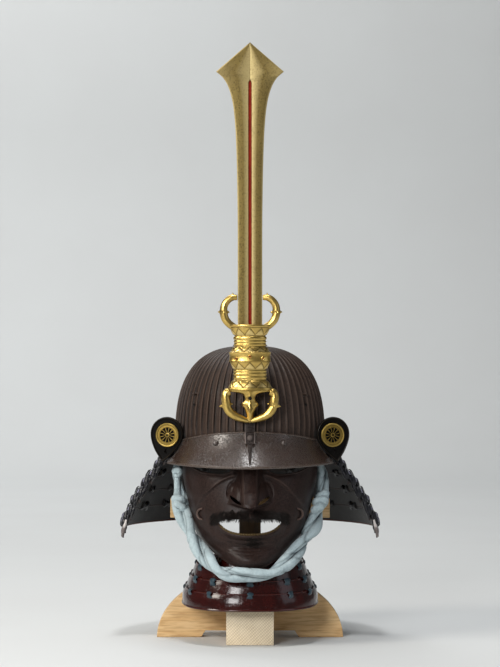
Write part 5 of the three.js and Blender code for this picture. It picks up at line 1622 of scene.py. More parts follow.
@dataclass
class TurnBack:
    """One turned-back end of the neck guard, a drop-shaped lacquered plate with a pierced disc."""

    side: str
    sign: int
    x: float = 112.5
    y: float = -58.0
    disc_z: float = 283.0
    radius: float = 23.0
    inner_side: Pairs = ((-21.9, -6), (-18.6, -13.5), (-12, -22), (-4.2, -30))
    outer_side: Pairs = ((12.6, -29.6), (17.2, -21.7), (20.9, -12.5), (22.7, -5))
    tip_z: float = 244.5
    tip_x: float = 118.8
    wall: float = 4.0
    yaw: float = 14.0
    disc_inset: float = 1.4
    slots: int = 12
    rim_share: float = 0.945
    # rings of the plate from its middle out and back behind: their scale, and how deep they lie
    dish: Pairs = (
        (0.02, -1.0), (0.5, -0.9), (0.8, -1.0), (0.875, -1.1), (0.905, -1.9), (0.935, -2.3), (0.97, -2.0),
        (1.0, -0.5), (1.0, 0.8), (0.975, 2.0), (0.9, 2.1), (0.02, 2.0),
    )
    bend: Route = ((104.5, -38, 262), (106.5, -46, 263), (108.5, -52.5, 265), (111, -55.2, 268))
    # rings of the disc: radius, height, and whether the twelve slots sink there, painted near-black for the
    # dark plate seen through them and the shade in them
    rosette: Route = (
        (1.0, 1.1, 0), (1.4, 2.2, 0), (2.3, 2.1, 0), (2.9, 1.9, 0), (3.2, 1.9, 1), (6.2, 1.9, 1),
        (9.0, 1.9, 1), (9.8, 1.9, 1), (10.0, 1.9, 0), (10.4, 2.7, 0), (10.9, 2.7, 0), (11.3, 1.9, 0),
        (12.4, 1.8, 0), (13.7, 1.8, 0), (14.1, 2.5, 0), (15.4, 2.9, 0), (16.1, 2.4, 0), (16.2, 1.2, 0),
        (16.2, 0.3, 0),
    )

    def placed(self, solid: Solid) -> Solid:
        """Sets a solid made in the plate's own frame (x, depth, z about the disc) in its place."""
        yaw = math.radians(self.sign * self.yaw)
        spin = np.array([[math.cos(yaw), math.sin(yaw), 0], [-math.sin(yaw), math.cos(yaw), 0], [0, 0, 1]])
        return solid.moved(lambda p: p @ spin + (self.sign * self.x, self.y, self.disc_z))

    def outline(self, count: int = 120) -> Array:
        """The drop's outline as x and z about the disc, evenly spaced."""
        arc = np.radians(np.linspace(0, 180, 60))
        tip = [(self.tip_x - self.x, self.tip_z - self.disc_z)]
        rounded = [(self.radius * math.cos(a), self.radius * math.sin(a)) for a in arc]
        sides = smooth_path([(x, 0, z) for x, z in rounded[-2:] + list(self.inner_side) + tip], 40)[:, ::2]
        rise = smooth_path([(x, 0, z) for x, z in tip + list(self.outer_side) + rounded[:2]], 40)[:, ::2]
        line = np.vstack([np.array(rounded[:-2]), sides, rise[1:-2]])
        if self.sign < 0:
            line = line[::-1] * (-1, 1)
        return evenly(np.vstack([line, line[:1]]), count, endpoint=False)

    def build_plate(self) -> None:
        """The plate, dished inside a rolled rim, with a worn bead along the rim's crest."""
        outline, middle = self.outline(), np.array([0, -4.0])
        rings, rubbed = [], []
        for scale, depth in self.dish:
            x, z = (middle + (outline - middle) * scale).T
            rings.append(stacked(x, depth, z))
            rubbed.append(0.5 * (depth < -1.95) + 0 * x)
        plate = ring_solid(np.array(rings), {"rubbed": np.array(rubbed)})
        strap = sweep(smooth_path(self.bend, 14) * (self.sign, 1, 1), 12.0, 16, across=0.1, up=(0, 0, 1))
        name, stands_for = f"turnback_plate_{self.side}", [f"turnback_{self.side}"]
        piece(name, [self.placed(plate), strap], LEATHER_LACQUER, stands_for)
        x, z = (middle + (outline - middle) * self.rim_share).T
        bead = sweep(stacked(x, -self.wall / 2 - 0.3, z), 0.3, 6, closed=True)
        piece(f"turnback_bead_{self.side}", [self.placed(bead)], WORN_GILT)

    def build_disc(self) -> None:
        """The gilt disc: a rim, a plain ring, and a sunk rosette whose twelve petal slots are painted
        near-black for the dark plate seen through them and the shade in them.
        """
        pitch = 2 * math.pi / self.slots
        steps = np.array([-0.5, -0.4, -0.37, -0.12, 0.12, 0.37, 0.4]) * pitch
        angle = (np.arange(self.slots)[:, None] * pitch + steps).ravel()
        down = np.tile(np.array([0, 0, 1, 1, 1, 1, 0]), self.slots)
        rings, recess, rubbed = [], [], []
        for radius, height, pierced in self.rosette:
            sunk = down * pierced
            depth = -(self.wall / 2) - np.where(sunk, 0.35, height)
            rings.append(stacked(radius * np.cos(angle), depth, radius * np.sin(angle)))
            # painted shade and tone: the slots near-black, the middle dark, and two thin rings darker
            recess.append(1.2 * sunk + (radius < 1.5) + 0.45 * (radius in (10.9, 13.7)) + 0 * angle)
            rubbed.append((height > 2.4) * 0.7 + 0 * angle)
        disc = ring_solid(np.array(rings), {"recess": np.array(recess), "rubbed": np.array(rubbed)})
        disc = disc.moved(lambda p: p + (-self.sign * self.disc_inset, 0, -self.disc_inset))
        name, stands_for = f"rosette_{self.side}", [f"rosette_disc_{self.side}"]
        piece(name, [self.placed(disc)], DISC_GILT, stands_for, crease=30)

    def build(self) -> None:
        """Builds one turn-back."""
        self.build_plate()
        self.build_disc()


# Neck guard


def lace_arms(route: Route, count: int, radius: float, sides: int, across: float) -> list[Solid]:
    """Two flat laces along a route and along its mirror image.

    Args:
        route: points of the lace on one side of X.
        count: how many points each gets.
        radius: half of its breadth.
        sides: points round it.
        across: its thickness as a share of its breadth.

    Returns:
        The two laces.
    """
    paths = [smooth_path(np.array(route) * (1, lean, 1), count) for lean in (-1, 1)]
    return [sweep(path, radius, sides, across=across, up=(0, 1, 0)) for path in paths]


@dataclass
class NeckGuard:
    """Five flaring lames of lacquered iron, laced together, with braided front edges."""

    lames: int = 5
    top_z: float = 272.0
    pitch: float = 23.6
    overlap: float = 6.5
    wall: float = 1.8
    step: float = 3.2
    front_top_y: float = -39.0
    front_bottom_y: float = -29.0
    tip_droop: float = 12.0
    braid_insets: tuple[float, float] = (1.6, 5.6)  # degrees in from the front edge, for each row of loops
    half: Curve = Curve((
        (272, 104.6), (248, 122.5), (228, 134.5), (204, 147.5), (178, 157.5), (152, 164.5), (130, 167.5),
    ))
    back: Curve = Curve(((272, 121), (248, 138), (228, 147), (204, 155), (178, 160), (152, 163), (130, 165)))
    front: Curve = Curve(((272, 121), (248, 124), (228, 128), (204, 136), (178, 145), (152, 150), (130, 153)))

    def heights(self, lame: int) -> tuple[float, float]:
        """A lame's lower and upper edge."""
        top = self.top_z - lame * self.pitch + (self.overlap / 2 if lame else 0)
        return self.top_z - (lame + 1) * self.pitch - self.overlap / 2, top

    def at(self, lame: int, angle: Any, z: Any) -> Array:
        """Points of a lame by angle from the back and height."""
        offset, angle, z = self.step * lame, np.asarray(angle, float), np.asarray(z, float)
        depth = np.where(np.abs(angle) <= 90, self.back(z), self.front(z)) + offset
        sag = np.maximum(0, np.abs(angle) - 80) / 22
        drop = self.tip_droop * sag * sag * np.maximum(0, (self.top_z - z) / (self.top_z - 152))
        return stacked((self.half(z) + offset) * sin_deg(angle), depth * cos_deg(angle), z - drop)

    def end_angle(self, lame: int) -> float:
        """The angle at which a lame ends in front."""
        front_y = lerp(self.front_top_y, self.front_bottom_y, lame / (self.lames - 1))
        depth = float(self.front(self.heights(lame)[1])) + self.step * lame
        return 90 + math.degrees(math.asin(-front_y / depth))

    def build_lames(self) -> None:
        """The lames, each with a turned rim along its lower edge, brown and apart on the lowest."""
        for lame in range(self.lames):
            low, high = self.heights(lame)
            end = self.end_angle(lame)
            angles = np.linspace(-end, end, 150)
            heights = np.linspace(low, high, 9)
            grid = self.at(lame, angles[:, None], heights[None, :])
            worn = eased(-heights, -low - 2.5, -low)[None, :] * 0.7 + 0 * angles[:, None]
            away = np.stack([grid[..., 0], grid[..., 1], 0 * grid[..., 2] + 30], axis=-1)
            shell = wall(grid, away, self.wall, marks={"rubbed": worn})
            edge = self.at(lame, np.linspace(-end + 0.3, end - 0.3, 170), low + 0.6)
            rim = sweep(edge - level(edge) * 0.9, 1.35, 8).marked("rubbed", 0.4)
            lowest = lame == self.lames - 1
            solids, stands_for = [shell] if lowest else [shell, rim], [f"neck_lame_{lame + 1}"]
            piece(f"lame_{lame + 1}", solids, LAME_LACQUER, stands_for)
            if lowest:
                piece("neck_rim", [rim], RIM_LACQUER)

    def build_edge_braid(self, scatter: Scatter) -> None:
        """The silk wound down each front edge: two rows of plump loops, with small pale loops between them as
        painted glints.
        """
        for side, sign in (("left", -1), ("right", 1)):
            loops, pale = [], []
            for lame in range(self.lames):
                low, high = self.heights(lame)
                end = self.end_angle(lame)
                bottom = self.heights(lame + 1)[1] + 0.8 if lame < self.lames - 1 else low + 15
                for z in (high - 4.5, bottom + 4.5):
                    over, under = [self.at(lame, sign * (end - 1), z + step) for step in (1, -1)]
                    down = unit(under - over)
                    for row, inset in enumerate(self.braid_insets):
                        point = self.at(lame, sign * (end - inset), z - 5.0 * row)
                        outward = unit(point * (1, 1, 0) + (0, 0, 40))
                        along = down + np.array([0, 0.35 * (row * 2 - 1), 0])
                        loops.append((point + outward * 1.6, outward, along, 1.0))
                    # the small pale loops are painted highlights: the glints between the dark loops
                    point = self.at(lame, sign * (end - 3.4), z - 1.5)
                    outward = unit(point * (1, 1, 0) + (0, -10, 40))
                    pale.append((point + outward * 4.3, outward, down + np.array([0, 0.5, 0]), 1.0))
            names = [f"edge_lacing_{side}_{k + 1}" for k in range(self.lames)]
            scatter.set_out(
                f"edge_braid_{side}", self.loop(6.7, 4.0, 3.3), loops, EDGE_BRAID, names,
                spread=0.06, lean=6, seed=3,
            )
            scatter.set_out(
                f"edge_stitches_{side}", self.loop(3.0, 1.1, 0.6), pale, GLINT_BRAID,
                spread=0.2, lean=5, seed=5,
            )
            self.build_inner_edge(side, sign)
            self.build_tip(side, sign)

    def build_inner_edge(self, side: str, sign: int) -> None:
        """The braid as it comes round to the inside of the front edge, one long dark roll."""
        points = []
        for lame in range(self.lames):
            low, high = self.heights(lame)
            foot = self.heights(lame + 1)[1] if lame < self.lames - 1 else low + 5
            for z in np.linspace(high - 1, max(low + 4, foot), 4):
                point = self.at(lame, sign * (self.end_angle(lame) - 0.8), z)
                points.append(point - level(point) * 1.6)

        def lumpy(angle: Array, run: Array) -> Array:
            """The swell of each turn of the silk."""
            return 1 + 0.16 * np.cos(2 * math.pi * run / 8.2) + 0.1 * np.cos(2 * angle + run / 3)

        roll = sweep(smooth_path(points, 90), 2.7, 12, across=0.8, shape=lumpy)
        piece(f"edge_roll_{side}", [roll], EDGE_BRAID)

    def build_tip(self, side: str, sign: int) -> None:
        """The bare corner below the braid on the lowest lame, painted pale grey and paler at its tip as a
        highlight.
        """
        low, _ = self.heights(self.lames - 1)
        end = self.end_angle(self.lames - 1)
        heights = (low + 22, low + 15, low + 8, low + 0.5)
        path = smooth_path([self.at(self.lames - 1, sign * (end - 0.4), z) for z in heights], 16)
        thick = np.interp(np.linspace(0, 1, 16), [0, 0.6, 1], [2.0, 3.5, 2.1])
        bar = sweep(path, thick, 12, across=0.8)
        bar.marks["rubbed"] = eased(bar.points[:, 2], low + 1.5, low + 6) * 0.9
        piece(f"corner_edging_{side}", [bar], CORNER_HIGHLIGHT)

    @staticmethod
    def loop(length: float, half: float, height: float) -> Solid:
        """A plump lace loop lying along X, pinched at both ends."""
        x = np.linspace(-1, 1, 7)[:, None]
        radius = half * np.sqrt(np.maximum(1 - (x * 0.94) ** 4, 0.02))
        angle = all_round(10)
        return ring_solid(stacked(x * length, radius * np.cos(angle), height / half * radius * np.sin(angle)))

    def build_knots(self, scatter: Scatter) -> None:
        """Cross knots: dark ones inside the front, and paired laces with their crosses outside."""
        inner, outer = [], []
        for lame in range(1, self.lames):
            _, high = self.heights(lame)
            for angle in range(-82, 83, 18):
                for over, rows, size in ((lame - 1, inner, 1.6), (lame, outer, 1.0)):
                    point, above, below = [self.at(over, angle, high - drop) for drop in (4.5, 3.5, 5.5)]
                    climb = unit(above - below)
                    outward = unit(np.cross(np.cross(climb, point * (1, 1, 0)), climb))
                    facing = -outward if rows is inner else outward
                    lift = self.wall + 0.4 if rows is inner else 0.4
                    rows.append((point + facing * lift, facing, climb, size))
        cross, pair = self.cross_knot(), self.lace_pair()
        scatter.set_out("inner_knots", cross, inner, DARK_LACE, spread=0.16, lean=9, seed=8)
        scatter.set_out("outer_laces", pair, outer, EDGE_BRAID, spread=0.02, lean=1.5, seed=9)

    @staticmethod
    def cross_knot() -> Solid:
        """Two flat laces side by side, pulled together in the middle, with a bar across them."""
        arm = ((-2.9, 3.8, -0.3), (-0.9, 2.2, 1.0), (1.2, 2.4, 1.0), (3.4, 4.2, -0.3))
        bar = smooth_path([(0.3, -4.6, 0), (0, -2, 1.3), (0, 2, 1.3), (0.3, 4.6, 0)], 7)
        return joined([*lace_arms(arm, 7, 1.8, 6, 0.5), sweep(bar, 1.5, 6, across=0.5, up=(1, 0, 0))])

    @staticmethod
    def lace_pair() -> Solid:
        """Two laces side by side coming over a lame's top edge, crossing once at their foot."""
        arm = ((7.5, 2.1, -0.6), (5.2, 2.1, 0.9), (0.5, 2.0, 0.9), (-2.2, 0, 1.3), (-5.0, -2.0, -0.5))
        return joined(lace_arms(arm, 10, 1.75, 6, 0.36))

    def build(self, scatter: Scatter) -> None:
        """Builds the neck guard."""
        self.build_lames()
        self.build_edge_braid(scatter)
        self.build_knots(scatter)


# Mask


@dataclass
class Mask:
    """The half mask: one sheet of russet iron raised into cheeks, nose, lips and chin."""

    wall: float = 2.2
    centre_y: float = -30.0
    power: float = 2.25
    end: float = 104.0
    top: Curve = Curve((
        (0, 252), (8, 248), (13, 236), (22, 231), (40, 233), (52, 237.5), (62, 241), (85, 241), (104, 239),
    ))
    bottom: Curve = Curve((
        (0, 104.5), (8, 104.8), (13, 105.5), (22, 107.5), (40, 115.5), (62, 131), (85, 147), (104, 158),
    ))
    half: Curve = Curve((
        (102, 30), (107, 38), (115, 48), (125, 58), (136, 66), (148, 73), (160, 78), (175, 81.5), (192, 85),
        (210, 89), (228, 92), (252, 92.5),
    ))
    front: Curve = Curve((
        (102, 114), (107, 120), (115, 124), (125, 122.5), (136, 120), (148, 121), (160, 122), (175, 121.5),
        (192, 119), (210, 115), (228, 111.5), (252, 109),
    ))
    mouth_half: float = 41.0
    corner_z: float = 167.5
    lip_top_z: float = 172.0
    lip_bottom_z: float = 153.0
    hook_x: float = 73.0
    hook_z: float = 177.0
    peg_x: float = 41.0
    peg_z: float = 116.0
    peg_profile: Pairs = (
        (3.2, -1.5), (3.2, 0.6), (2.2, 1.2), (2.1, 10.6), (3.1, 11.4), (3.3, 12.4), (2.7, 13.6), (1.0, 14.1),
        (0.05, 14.2),
    )
    nostril: Pairs = (
        (27.4, 203.4), (24.6, 203.2), (18.5, 199.4), (12.8, 195.2), (10.4, 191.6), (15.4, 192.2),
        (20.8, 195.2), (25.4, 199.4),
    )
    wrinkle_heights: tuple[float, ...] = (137.5, 133.6, 129.4, 125.2)

    @staticmethod
    def fold_height(across: Array) -> Array:
        """The height of the fold under the eye, by how far out it is."""
        past = np.maximum(0, across - 17)
        return 229.5 - 0.1 * past - 0.0122 * past ** 2

    def relief(self, x: Array, z: Array) -> Array:
        """How far the face stands out from its plain curve."""
        ax = np.abs(x)
        share = np.clip((252 - z) / 59, 0, 1)
        nose_half = lerp(14, 30, share ** 1.6)
        nose_low = 186.5 + 6.5 * np.clip(ax / 26, 0, 1) ** 1.3
        under = eased(z - nose_low, -2.2, 2.2)
        slope = np.clip(1 - (ax / nose_half) ** 1.9, 0, 1) ** 0.9
        flat = eased(-ax, -13.5, -7.5)
        nose = lerp(9, 31, share ** 1.15) * (0.6 * slope + 0.4 * flat) * under
        ridge = 0.7 * bell((ax - 8.6) / 1.5) * eased(z, 196, 206) * eased(-z, -250, -240)
        lobe = np.hypot((ax - 19.5) / 9.6, (z - 206) / 14)
        wing = 4.8 * np.clip(1 - lobe ** 2.4, 0, 1) ** 0.8 * under
        wing_line = -1.5 * bell((lobe - 1.12) / 0.11) * eased(ax, 17, 23) * eased(z, 196, 204)
        over_fold = z - self.fold_height(ax)
        above = eased(over_fold, -3.4, 1.8)
        cheek = 3.4 * above * bell((over_fold - 6) / 24) * eased(ax, 15, 25) * eased(-ax, -92, -50)
        crest = 0.7 * bell((over_fold - 1.2) / 1.6) * eased(ax, 16, 22) * eased(-ax, -60, -44)
        orbit = -2.0 * bell((z - 232) / 4.5) * eased(ax, 18, 30) * eased(-ax, -70, -48)
        mouth_low, mouth_high = self.lip_lines(x)
        near = eased(-ax, -48, -36)
        upper = 3.0 * bell((z - mouth_high - 2) / 5.5) * near
        lower = 3.8 * bell((z - mouth_low + 4.2) / 4.4) * near
        groove = -1.2 * bell((z - mouth_low + 9.4) / 1.7) * eased(-ax, -40, -26)
        smile = -1.3 * bell((ax - 49 - 0.25 * (z - 160)) / 2.6) * bell((z - 160) / 12)
        hollow = -3 * bell((z - 134) / 6) * bell(ax / 30)
        lifted = z - 0.004 * ax * ax
        wrinkles = sum(-0.75 * bell((lifted - h) / 0.75) * bell(ax / 24) for h in self.wrinkle_heights)
        chin = 4.5 * bell((z - 117) / 10) * bell(ax / 30)
        jaw = 1.2 * bell((z - 118 - 0.62 * ax) / 4.5) * eased(ax, 26, 38)
        return sum((
            nose, ridge, wing, wing_line, cheek, crest, orbit, upper, lower, groove, smile, hollow,
            wrinkles, chin, jaw,
        ))

    def face(self, angle: Any, z: Any) -> Array:
        """Points of the mask by angle from the front and height."""
        half, front = self.half(z), self.front(z) + self.centre_y
        x = half * round_power(sin_deg(angle), self.power)
        y = self.centre_y - front * round_power(cos_deg(angle), self.power)
        return stacked(x, y - self.relief(x, np.asarray(z, float)), z)

    def at(self, x: Any, z: Any) -> Array:
        """Points of the mask by x and height."""
        x, z = np.asarray(x, float), np.asarray(z, float)
        share = np.minimum(1, np.abs(x) / self.half(z))
        return self.face(np.sign(x) * np.degrees(np.arcsin(share ** (self.power / 2))), z)

    def standing(self, x: float, z: float) -> tuple[Array, Array]:
        """A point of the mask and the direction square to it."""
        step = np.array([-0.5, 0, 0.5])
        grid = self.at(x + step[:, None], z + step[None, :])
        return grid[1, 1], normals_of(grid, np.array([0.0, -1.0, 0.0]))[1, 1]

    def build_sheet(self) -> None:
        """The sheet with its turned rim, the mouth and both nostrils cut through."""
        t = np.linspace(-1, 1, 231)
        angles = self.end * (0.62 * t + 0.38 * t ** 3)
        share = np.linspace(0, 1, 165)
        low, high = self.bottom(np.abs(angles))[:, None], self.top(np.abs(angles))[:, None]
        z = lerp(low, high, share[None, :])
        grid = self.face(np.broadcast_to(angles[:, None], z.shape), z)
        away = grid - (0, self.centre_y, 0)
        edge = np.maximum(eased(share, 0.985, 1), eased(-share, -0.012, 0))[None, :] + 0 * z
        across = np.abs(grid[..., 0])
        over_fold = grid[..., 2] - self.fold_height(across)
        # painted highlight: a pale line along the fold under each eye and beside the nose's ridge, carried
        # with the worn edges in one mark
        shine = 0.4 * bell((over_fold - 1.2) / 1.3) * eased(across, 17, 23) * eased(-across, -58, -44)
        shine = shine + 0.3 * bell((across - 9.3) / 1.2) * eased(grid[..., 2], 194, 202)
        shell = wall(grid, away * (1, 1, 0), self.wall, marks={"rubbed": edge * 0.5 + shine})
        made = new_object("mask_sheet", shell)
        cutters = [self.cutter(self.mouth(), 80)]
        cutters += [self.cutter(np.array(self.nostril) * (sign, 1), 85) for sign in (-1, 1)]
        tool = new_object("mask_cutter", joined(cutters))
        cut = made.modifiers.new("cut", "BOOLEAN")
        cut.operation, cut.solver, cut.object, cut.use_self = "DIFFERENCE", "EXACT", tool, True
        baked(made)
        bpy.data.objects.remove(tool)
        smooth(made.data, 42)
        settle(made, MASK_IRON, ["mask"])
        self.build_rims()

    def cutter(self, outline: Array, depth: float) -> Solid:
        """A prism along Y through the face, from an outline in x and z."""
        x, z = outline.T
        rings = [stacked(x, y, z) for y in (-110 - depth, -110 + depth / 3)]
        return ring_solid(np.array(rings), ends=Ends.FLAT)

    def lip_lines(self, x: Any) -> tuple[Array, Array]:
        """The lower and upper edge of the mouth: blunt corners, a straight upper lip, a full bow below."""
        share = np.clip(np.abs(x) / self.mouth_half, 0, 1)
        low = self.corner_z + (self.lip_bottom_z - self.corner_z) * (1 - share ** 2.8) ** 0.7
        return low, self.corner_z + (self.lip_top_z - self.corner_z) * (1 - share ** 6) ** 0.5

    def mouth(self) -> Array:
        """The mouth's outline as x and z."""
        x = self.mouth_half * np.sin(np.linspace(-math.pi / 2, math.pi / 2, 61))
        low, high = self.lip_lines(x)
        return np.vstack([np.stack([x, low], axis=1), np.stack([x[::-1], high[::-1]], axis=1)[1:-1]])

    def build_rims(self) -> None:
        """Turned rims on the upper and lower edges, and the gilt-brown band inside the lower lip."""
        rims = []
        for edge in (self.top, self.bottom):
            angles = np.linspace(-self.end + 0.5, self.end - 0.5, 220)
            height = edge(np.abs(angles)) + (-0.8 if edge is self.top else 0.8)
            line = self.face(angles, height)
            line = smooth_path((line - level(line - (0, self.centre_y, 0)))[::3], 240)
            rims.append(sweep(line, 1.5, 8).marked("rubbed", 0.12))
        piece("mask_rims", rims, MASK_IRON)
        x = np.linspace(-self.mouth_half + 1.5, self.mouth_half - 1.5, 70)
        lip = self.at(x, self.lip_lines(x)[0] - 1.1)
        lip[:, 1] -= 0.2

        def ripple(angle: Array, run: Array) -> Array:
            """The band's row of small beads."""
            return 1 + 0.28 * np.cos(2 * math.pi * run / 3.6)

        piece("lip_band", [sweep(lip, 1.5, 10, shape=ripple)], LIP_GOLD)

    def build_hair(self, scatter: Scatter) -> None:
        """The moustache, its ragged fringe over the mouth and the tuft under the lip, as bristles."""
        chance = np.random.default_rng(11)
        rows = []
        for _ in range(1450):
            x = chance.uniform(-51, 51)
            bow = (x / 52) ** 4
            z = lerp(173 - 7.5 * bow, 184.5 - 7 * bow, chance.random()) + chance.normal(0, 1.0)
            point, outward = self.standing(x, z)
            sideways = math.copysign(0.25 + 0.9 * (abs(x) / 46) ** 1.6, x)
            down = np.array([sideways, -0.35, -1.0 - 0.1 * chance.random()])
            direction = unit(down + outward * 0.42)
            rows.append((point - outward * 0.3, outward, direction, 0.75 + 0.35 * bow))
        strand = self.bristle(7.6, 0.42)
        scatter.set_out(
            "moustache_hair", strand, rows, HAIR, ["moustache"], spread=0.28, lean=13, seed=21,
        )
        rows = []
        for _ in range(420):
            x, z = chance.normal(0, 5.4) + 3, chance.normal(142.5, 3.4)
            point, outward = self.standing(float(np.clip(x, -14, 16)), z)
            direction = unit(np.array([0.05 * x, -0.3, -1.0]) + outward * 0.2)
            rows.append((point - outward * 0.3, outward, direction, 0.62))
        scatter.set_out("beard_tuft", strand, rows, HAIR, spread=0.3, lean=16, seed=22)

    @staticmethod
    def bristle(length: float, radius: float) -> Solid:
        """A tapering hair lying along X with a slight bow."""
        share, angle = np.linspace(0, 1, 5)[:, None], all_round(4)
        size = radius * (1 - 0.85 * share ** 1.6)
        rise = 0.9 * np.sin(share * math.pi * 0.85)
        return ring_solid(stacked(length * share, size * np.cos(angle), rise + size * np.sin(angle)))

    def build_hooks(self) -> None:
        """The two bent cord rests on the cheeks and the two pegs under the chin."""
        hooks, pegs = [], []
        thick = np.interp(np.linspace(0, 1, 26), [0, 0.5, 1], [1.0, 1.6, 1.0])
        for sign in (-1, 1):
            route = []
            for bend in (-70, -45, -15, 15, 45, 70):
                x = self.hook_x - 8.5 * (1 - cos_deg(bend)) - 4
                point, outward = self.standing(sign * x, self.hook_z + 8.2 * sin_deg(bend))
                route.append(point + outward * (2.2 if abs(bend) < 60 else 0.2))
            hooks.append(sweep(smooth_path(route, 26), thick, 10).marked("rubbed", 0.9))
            root, _ = self.standing(sign * self.peg_x, self.peg_z)
            pegs.append(turned_to(revolve(self.peg_profile, 16), root, (sign * 0.25, -1, -0.1)))
        piece("cheek_hooks", hooks, MASK_IRON, ["cheek_hook_left", "cheek_hook_right"])
        piece("chin_pegs", pegs, MASK_IRON, ["chin_peg_left", "chin_peg_right"])

    def build(self, scatter: Scatter) -> None:
        """Builds the mask."""
        self.build_sheet()
        self.build_hair(scatter)
        self.build_hooks()


# Throat guard


@dataclass
class ThroatGuard:
    """Four lacquered lames hung under the mask, knotted together with teal lace."""

    lames: int = 4
    wall: float = 1.8
    step: float = 2.8
    centre_y: float = -30.0
    end: float = 100.0
    power: float = 2.2
    bottom_z: float = 49.0
    pitch: float = 16.6
    overlap: float = 5.5
    end_rise: float = 7.0
    half: Curve = Curve(((40, 93), (61, 91.5), (77, 87), (94, 82), (112, 77), (130, 72)))
    front: Curve = Curve(((40, 118), (61, 114.5), (77, 110), (94, 106), (112, 102), (130, 98)))

    def at(self, from_bottom: int, angle: Any, height: Any) -> Array:
        """Points of a lame by angle from the front and height in the middle."""
        offset, angle, height = -self.step * from_bottom, np.asarray(angle, float), np.asarray(height, float)
        reach = self.front(height) + offset + self.centre_y
        lift = self.end_rise * (np.abs(angle) / self.end) ** 4
        x = (self.half(height) + offset) * round_power(sin_deg(angle), self.power)
        return stacked(x, self.centre_y - reach * round_power(cos_deg(angle), self.power), height + lift)

    def heights(self, from_bottom: int) -> tuple[float, float]:
        """A lame's lower and upper edge in the middle."""
        low = self.bottom_z + from_bottom * self.pitch
        return low, low + self.pitch + self.overlap

    def build_lames(self) -> None:
        """The lames, each with a rolled lower rim and a thin turned upper edge."""
        angles, middle = np.linspace(-self.end, self.end, 130), (0, self.centre_y, 0)
        for lame in range(self.lames):
            from_bottom = self.lames - 1 - lame
            low, high = self.heights(from_bottom)
            grid = self.at(from_bottom, angles[:, None], np.linspace(low, high, 12)[None, :])
            belly = 0.9 * np.sin(np.linspace(0, math.pi, 12))[None, :]
            belly = belly + 0.25 * np.sin(angles / 7.0 + lame)[:, None]
            solids = [wall(grid, (grid - middle) * (1, 1, 0), self.wall, lift=belly * 0.6)]
            foot = (low + 0.8, 1.3 if from_bottom else 1.7, 0.2)
            for height, radius, rubbed in (foot, (high - 0.4, 1.15, 0.25)):
                line = self.at(from_bottom, angles * 0.997, height)
                rim = sweep(line - level(line - middle) * 0.7, radius, 8)
                solids.append(rim.marked("rubbed", rubbed))
            name, stands_for = f"throat_plate_{lame + 1}", [f"throat_lame_{lame + 1}"]
            piece(name, solids, THROAT_LACQUER, stands_for)

    def knot_place(self, from_bottom: int, angle: float, z: float, lift: float, size: float) -> Place:
        """Where a knot goes on a lame, lifted off it."""
        point = self.at(from_bottom, angle, z)
        outward = level(point - (0, self.centre_y, 0))
        return point + outward * lift, outward, (0, 0, 1), size

    def build_knots(self, scatter: Scatter) -> None:
        """Teal lace knots across every joint, and dark ones close together at the ends."""
        teal, dark = [], []
        for lame in range(self.lames - 1):
            _, high = self.heights(lame)
            for angle in (-88, -62, -35, 0, 35, 62, 88):
                lift, size = (0.4, 1.3) if abs(angle) < 80 else (-0.5, 0.9)
                teal.append(self.knot_place(lame, angle, high - 2.0, lift, size))
        for lame in range(1, self.lames):
            low, _ = self.heights(lame)
            for angle in (-80, -97, 80, 97):
                dark.append(self.knot_place(lame, angle, low + 6, -0.2, 0.6))
        arm = ((-3.1, -1.6, -0.5), (-1.4, -0.7, 1.0), (1.4, 0.7, 1.0), (3.1, 1.6, -0.5))
        knot = joined(lace_arms(arm, 8, 2.3, 8, 0.6))
        scatter.set_out("throat_knots", knot, teal, TEAL_LACE, spread=0.1, lean=10, seed=31)
        scatter.set_out("throat_end_knots", knot, dark, DARK_LACE, spread=0.12, lean=12, seed=32)

    def build(self, scatter: Scatter) -> None:
        """Builds the throat guard."""
        self.build_lames()
        self.build_knots(scatter)


# Chin cord


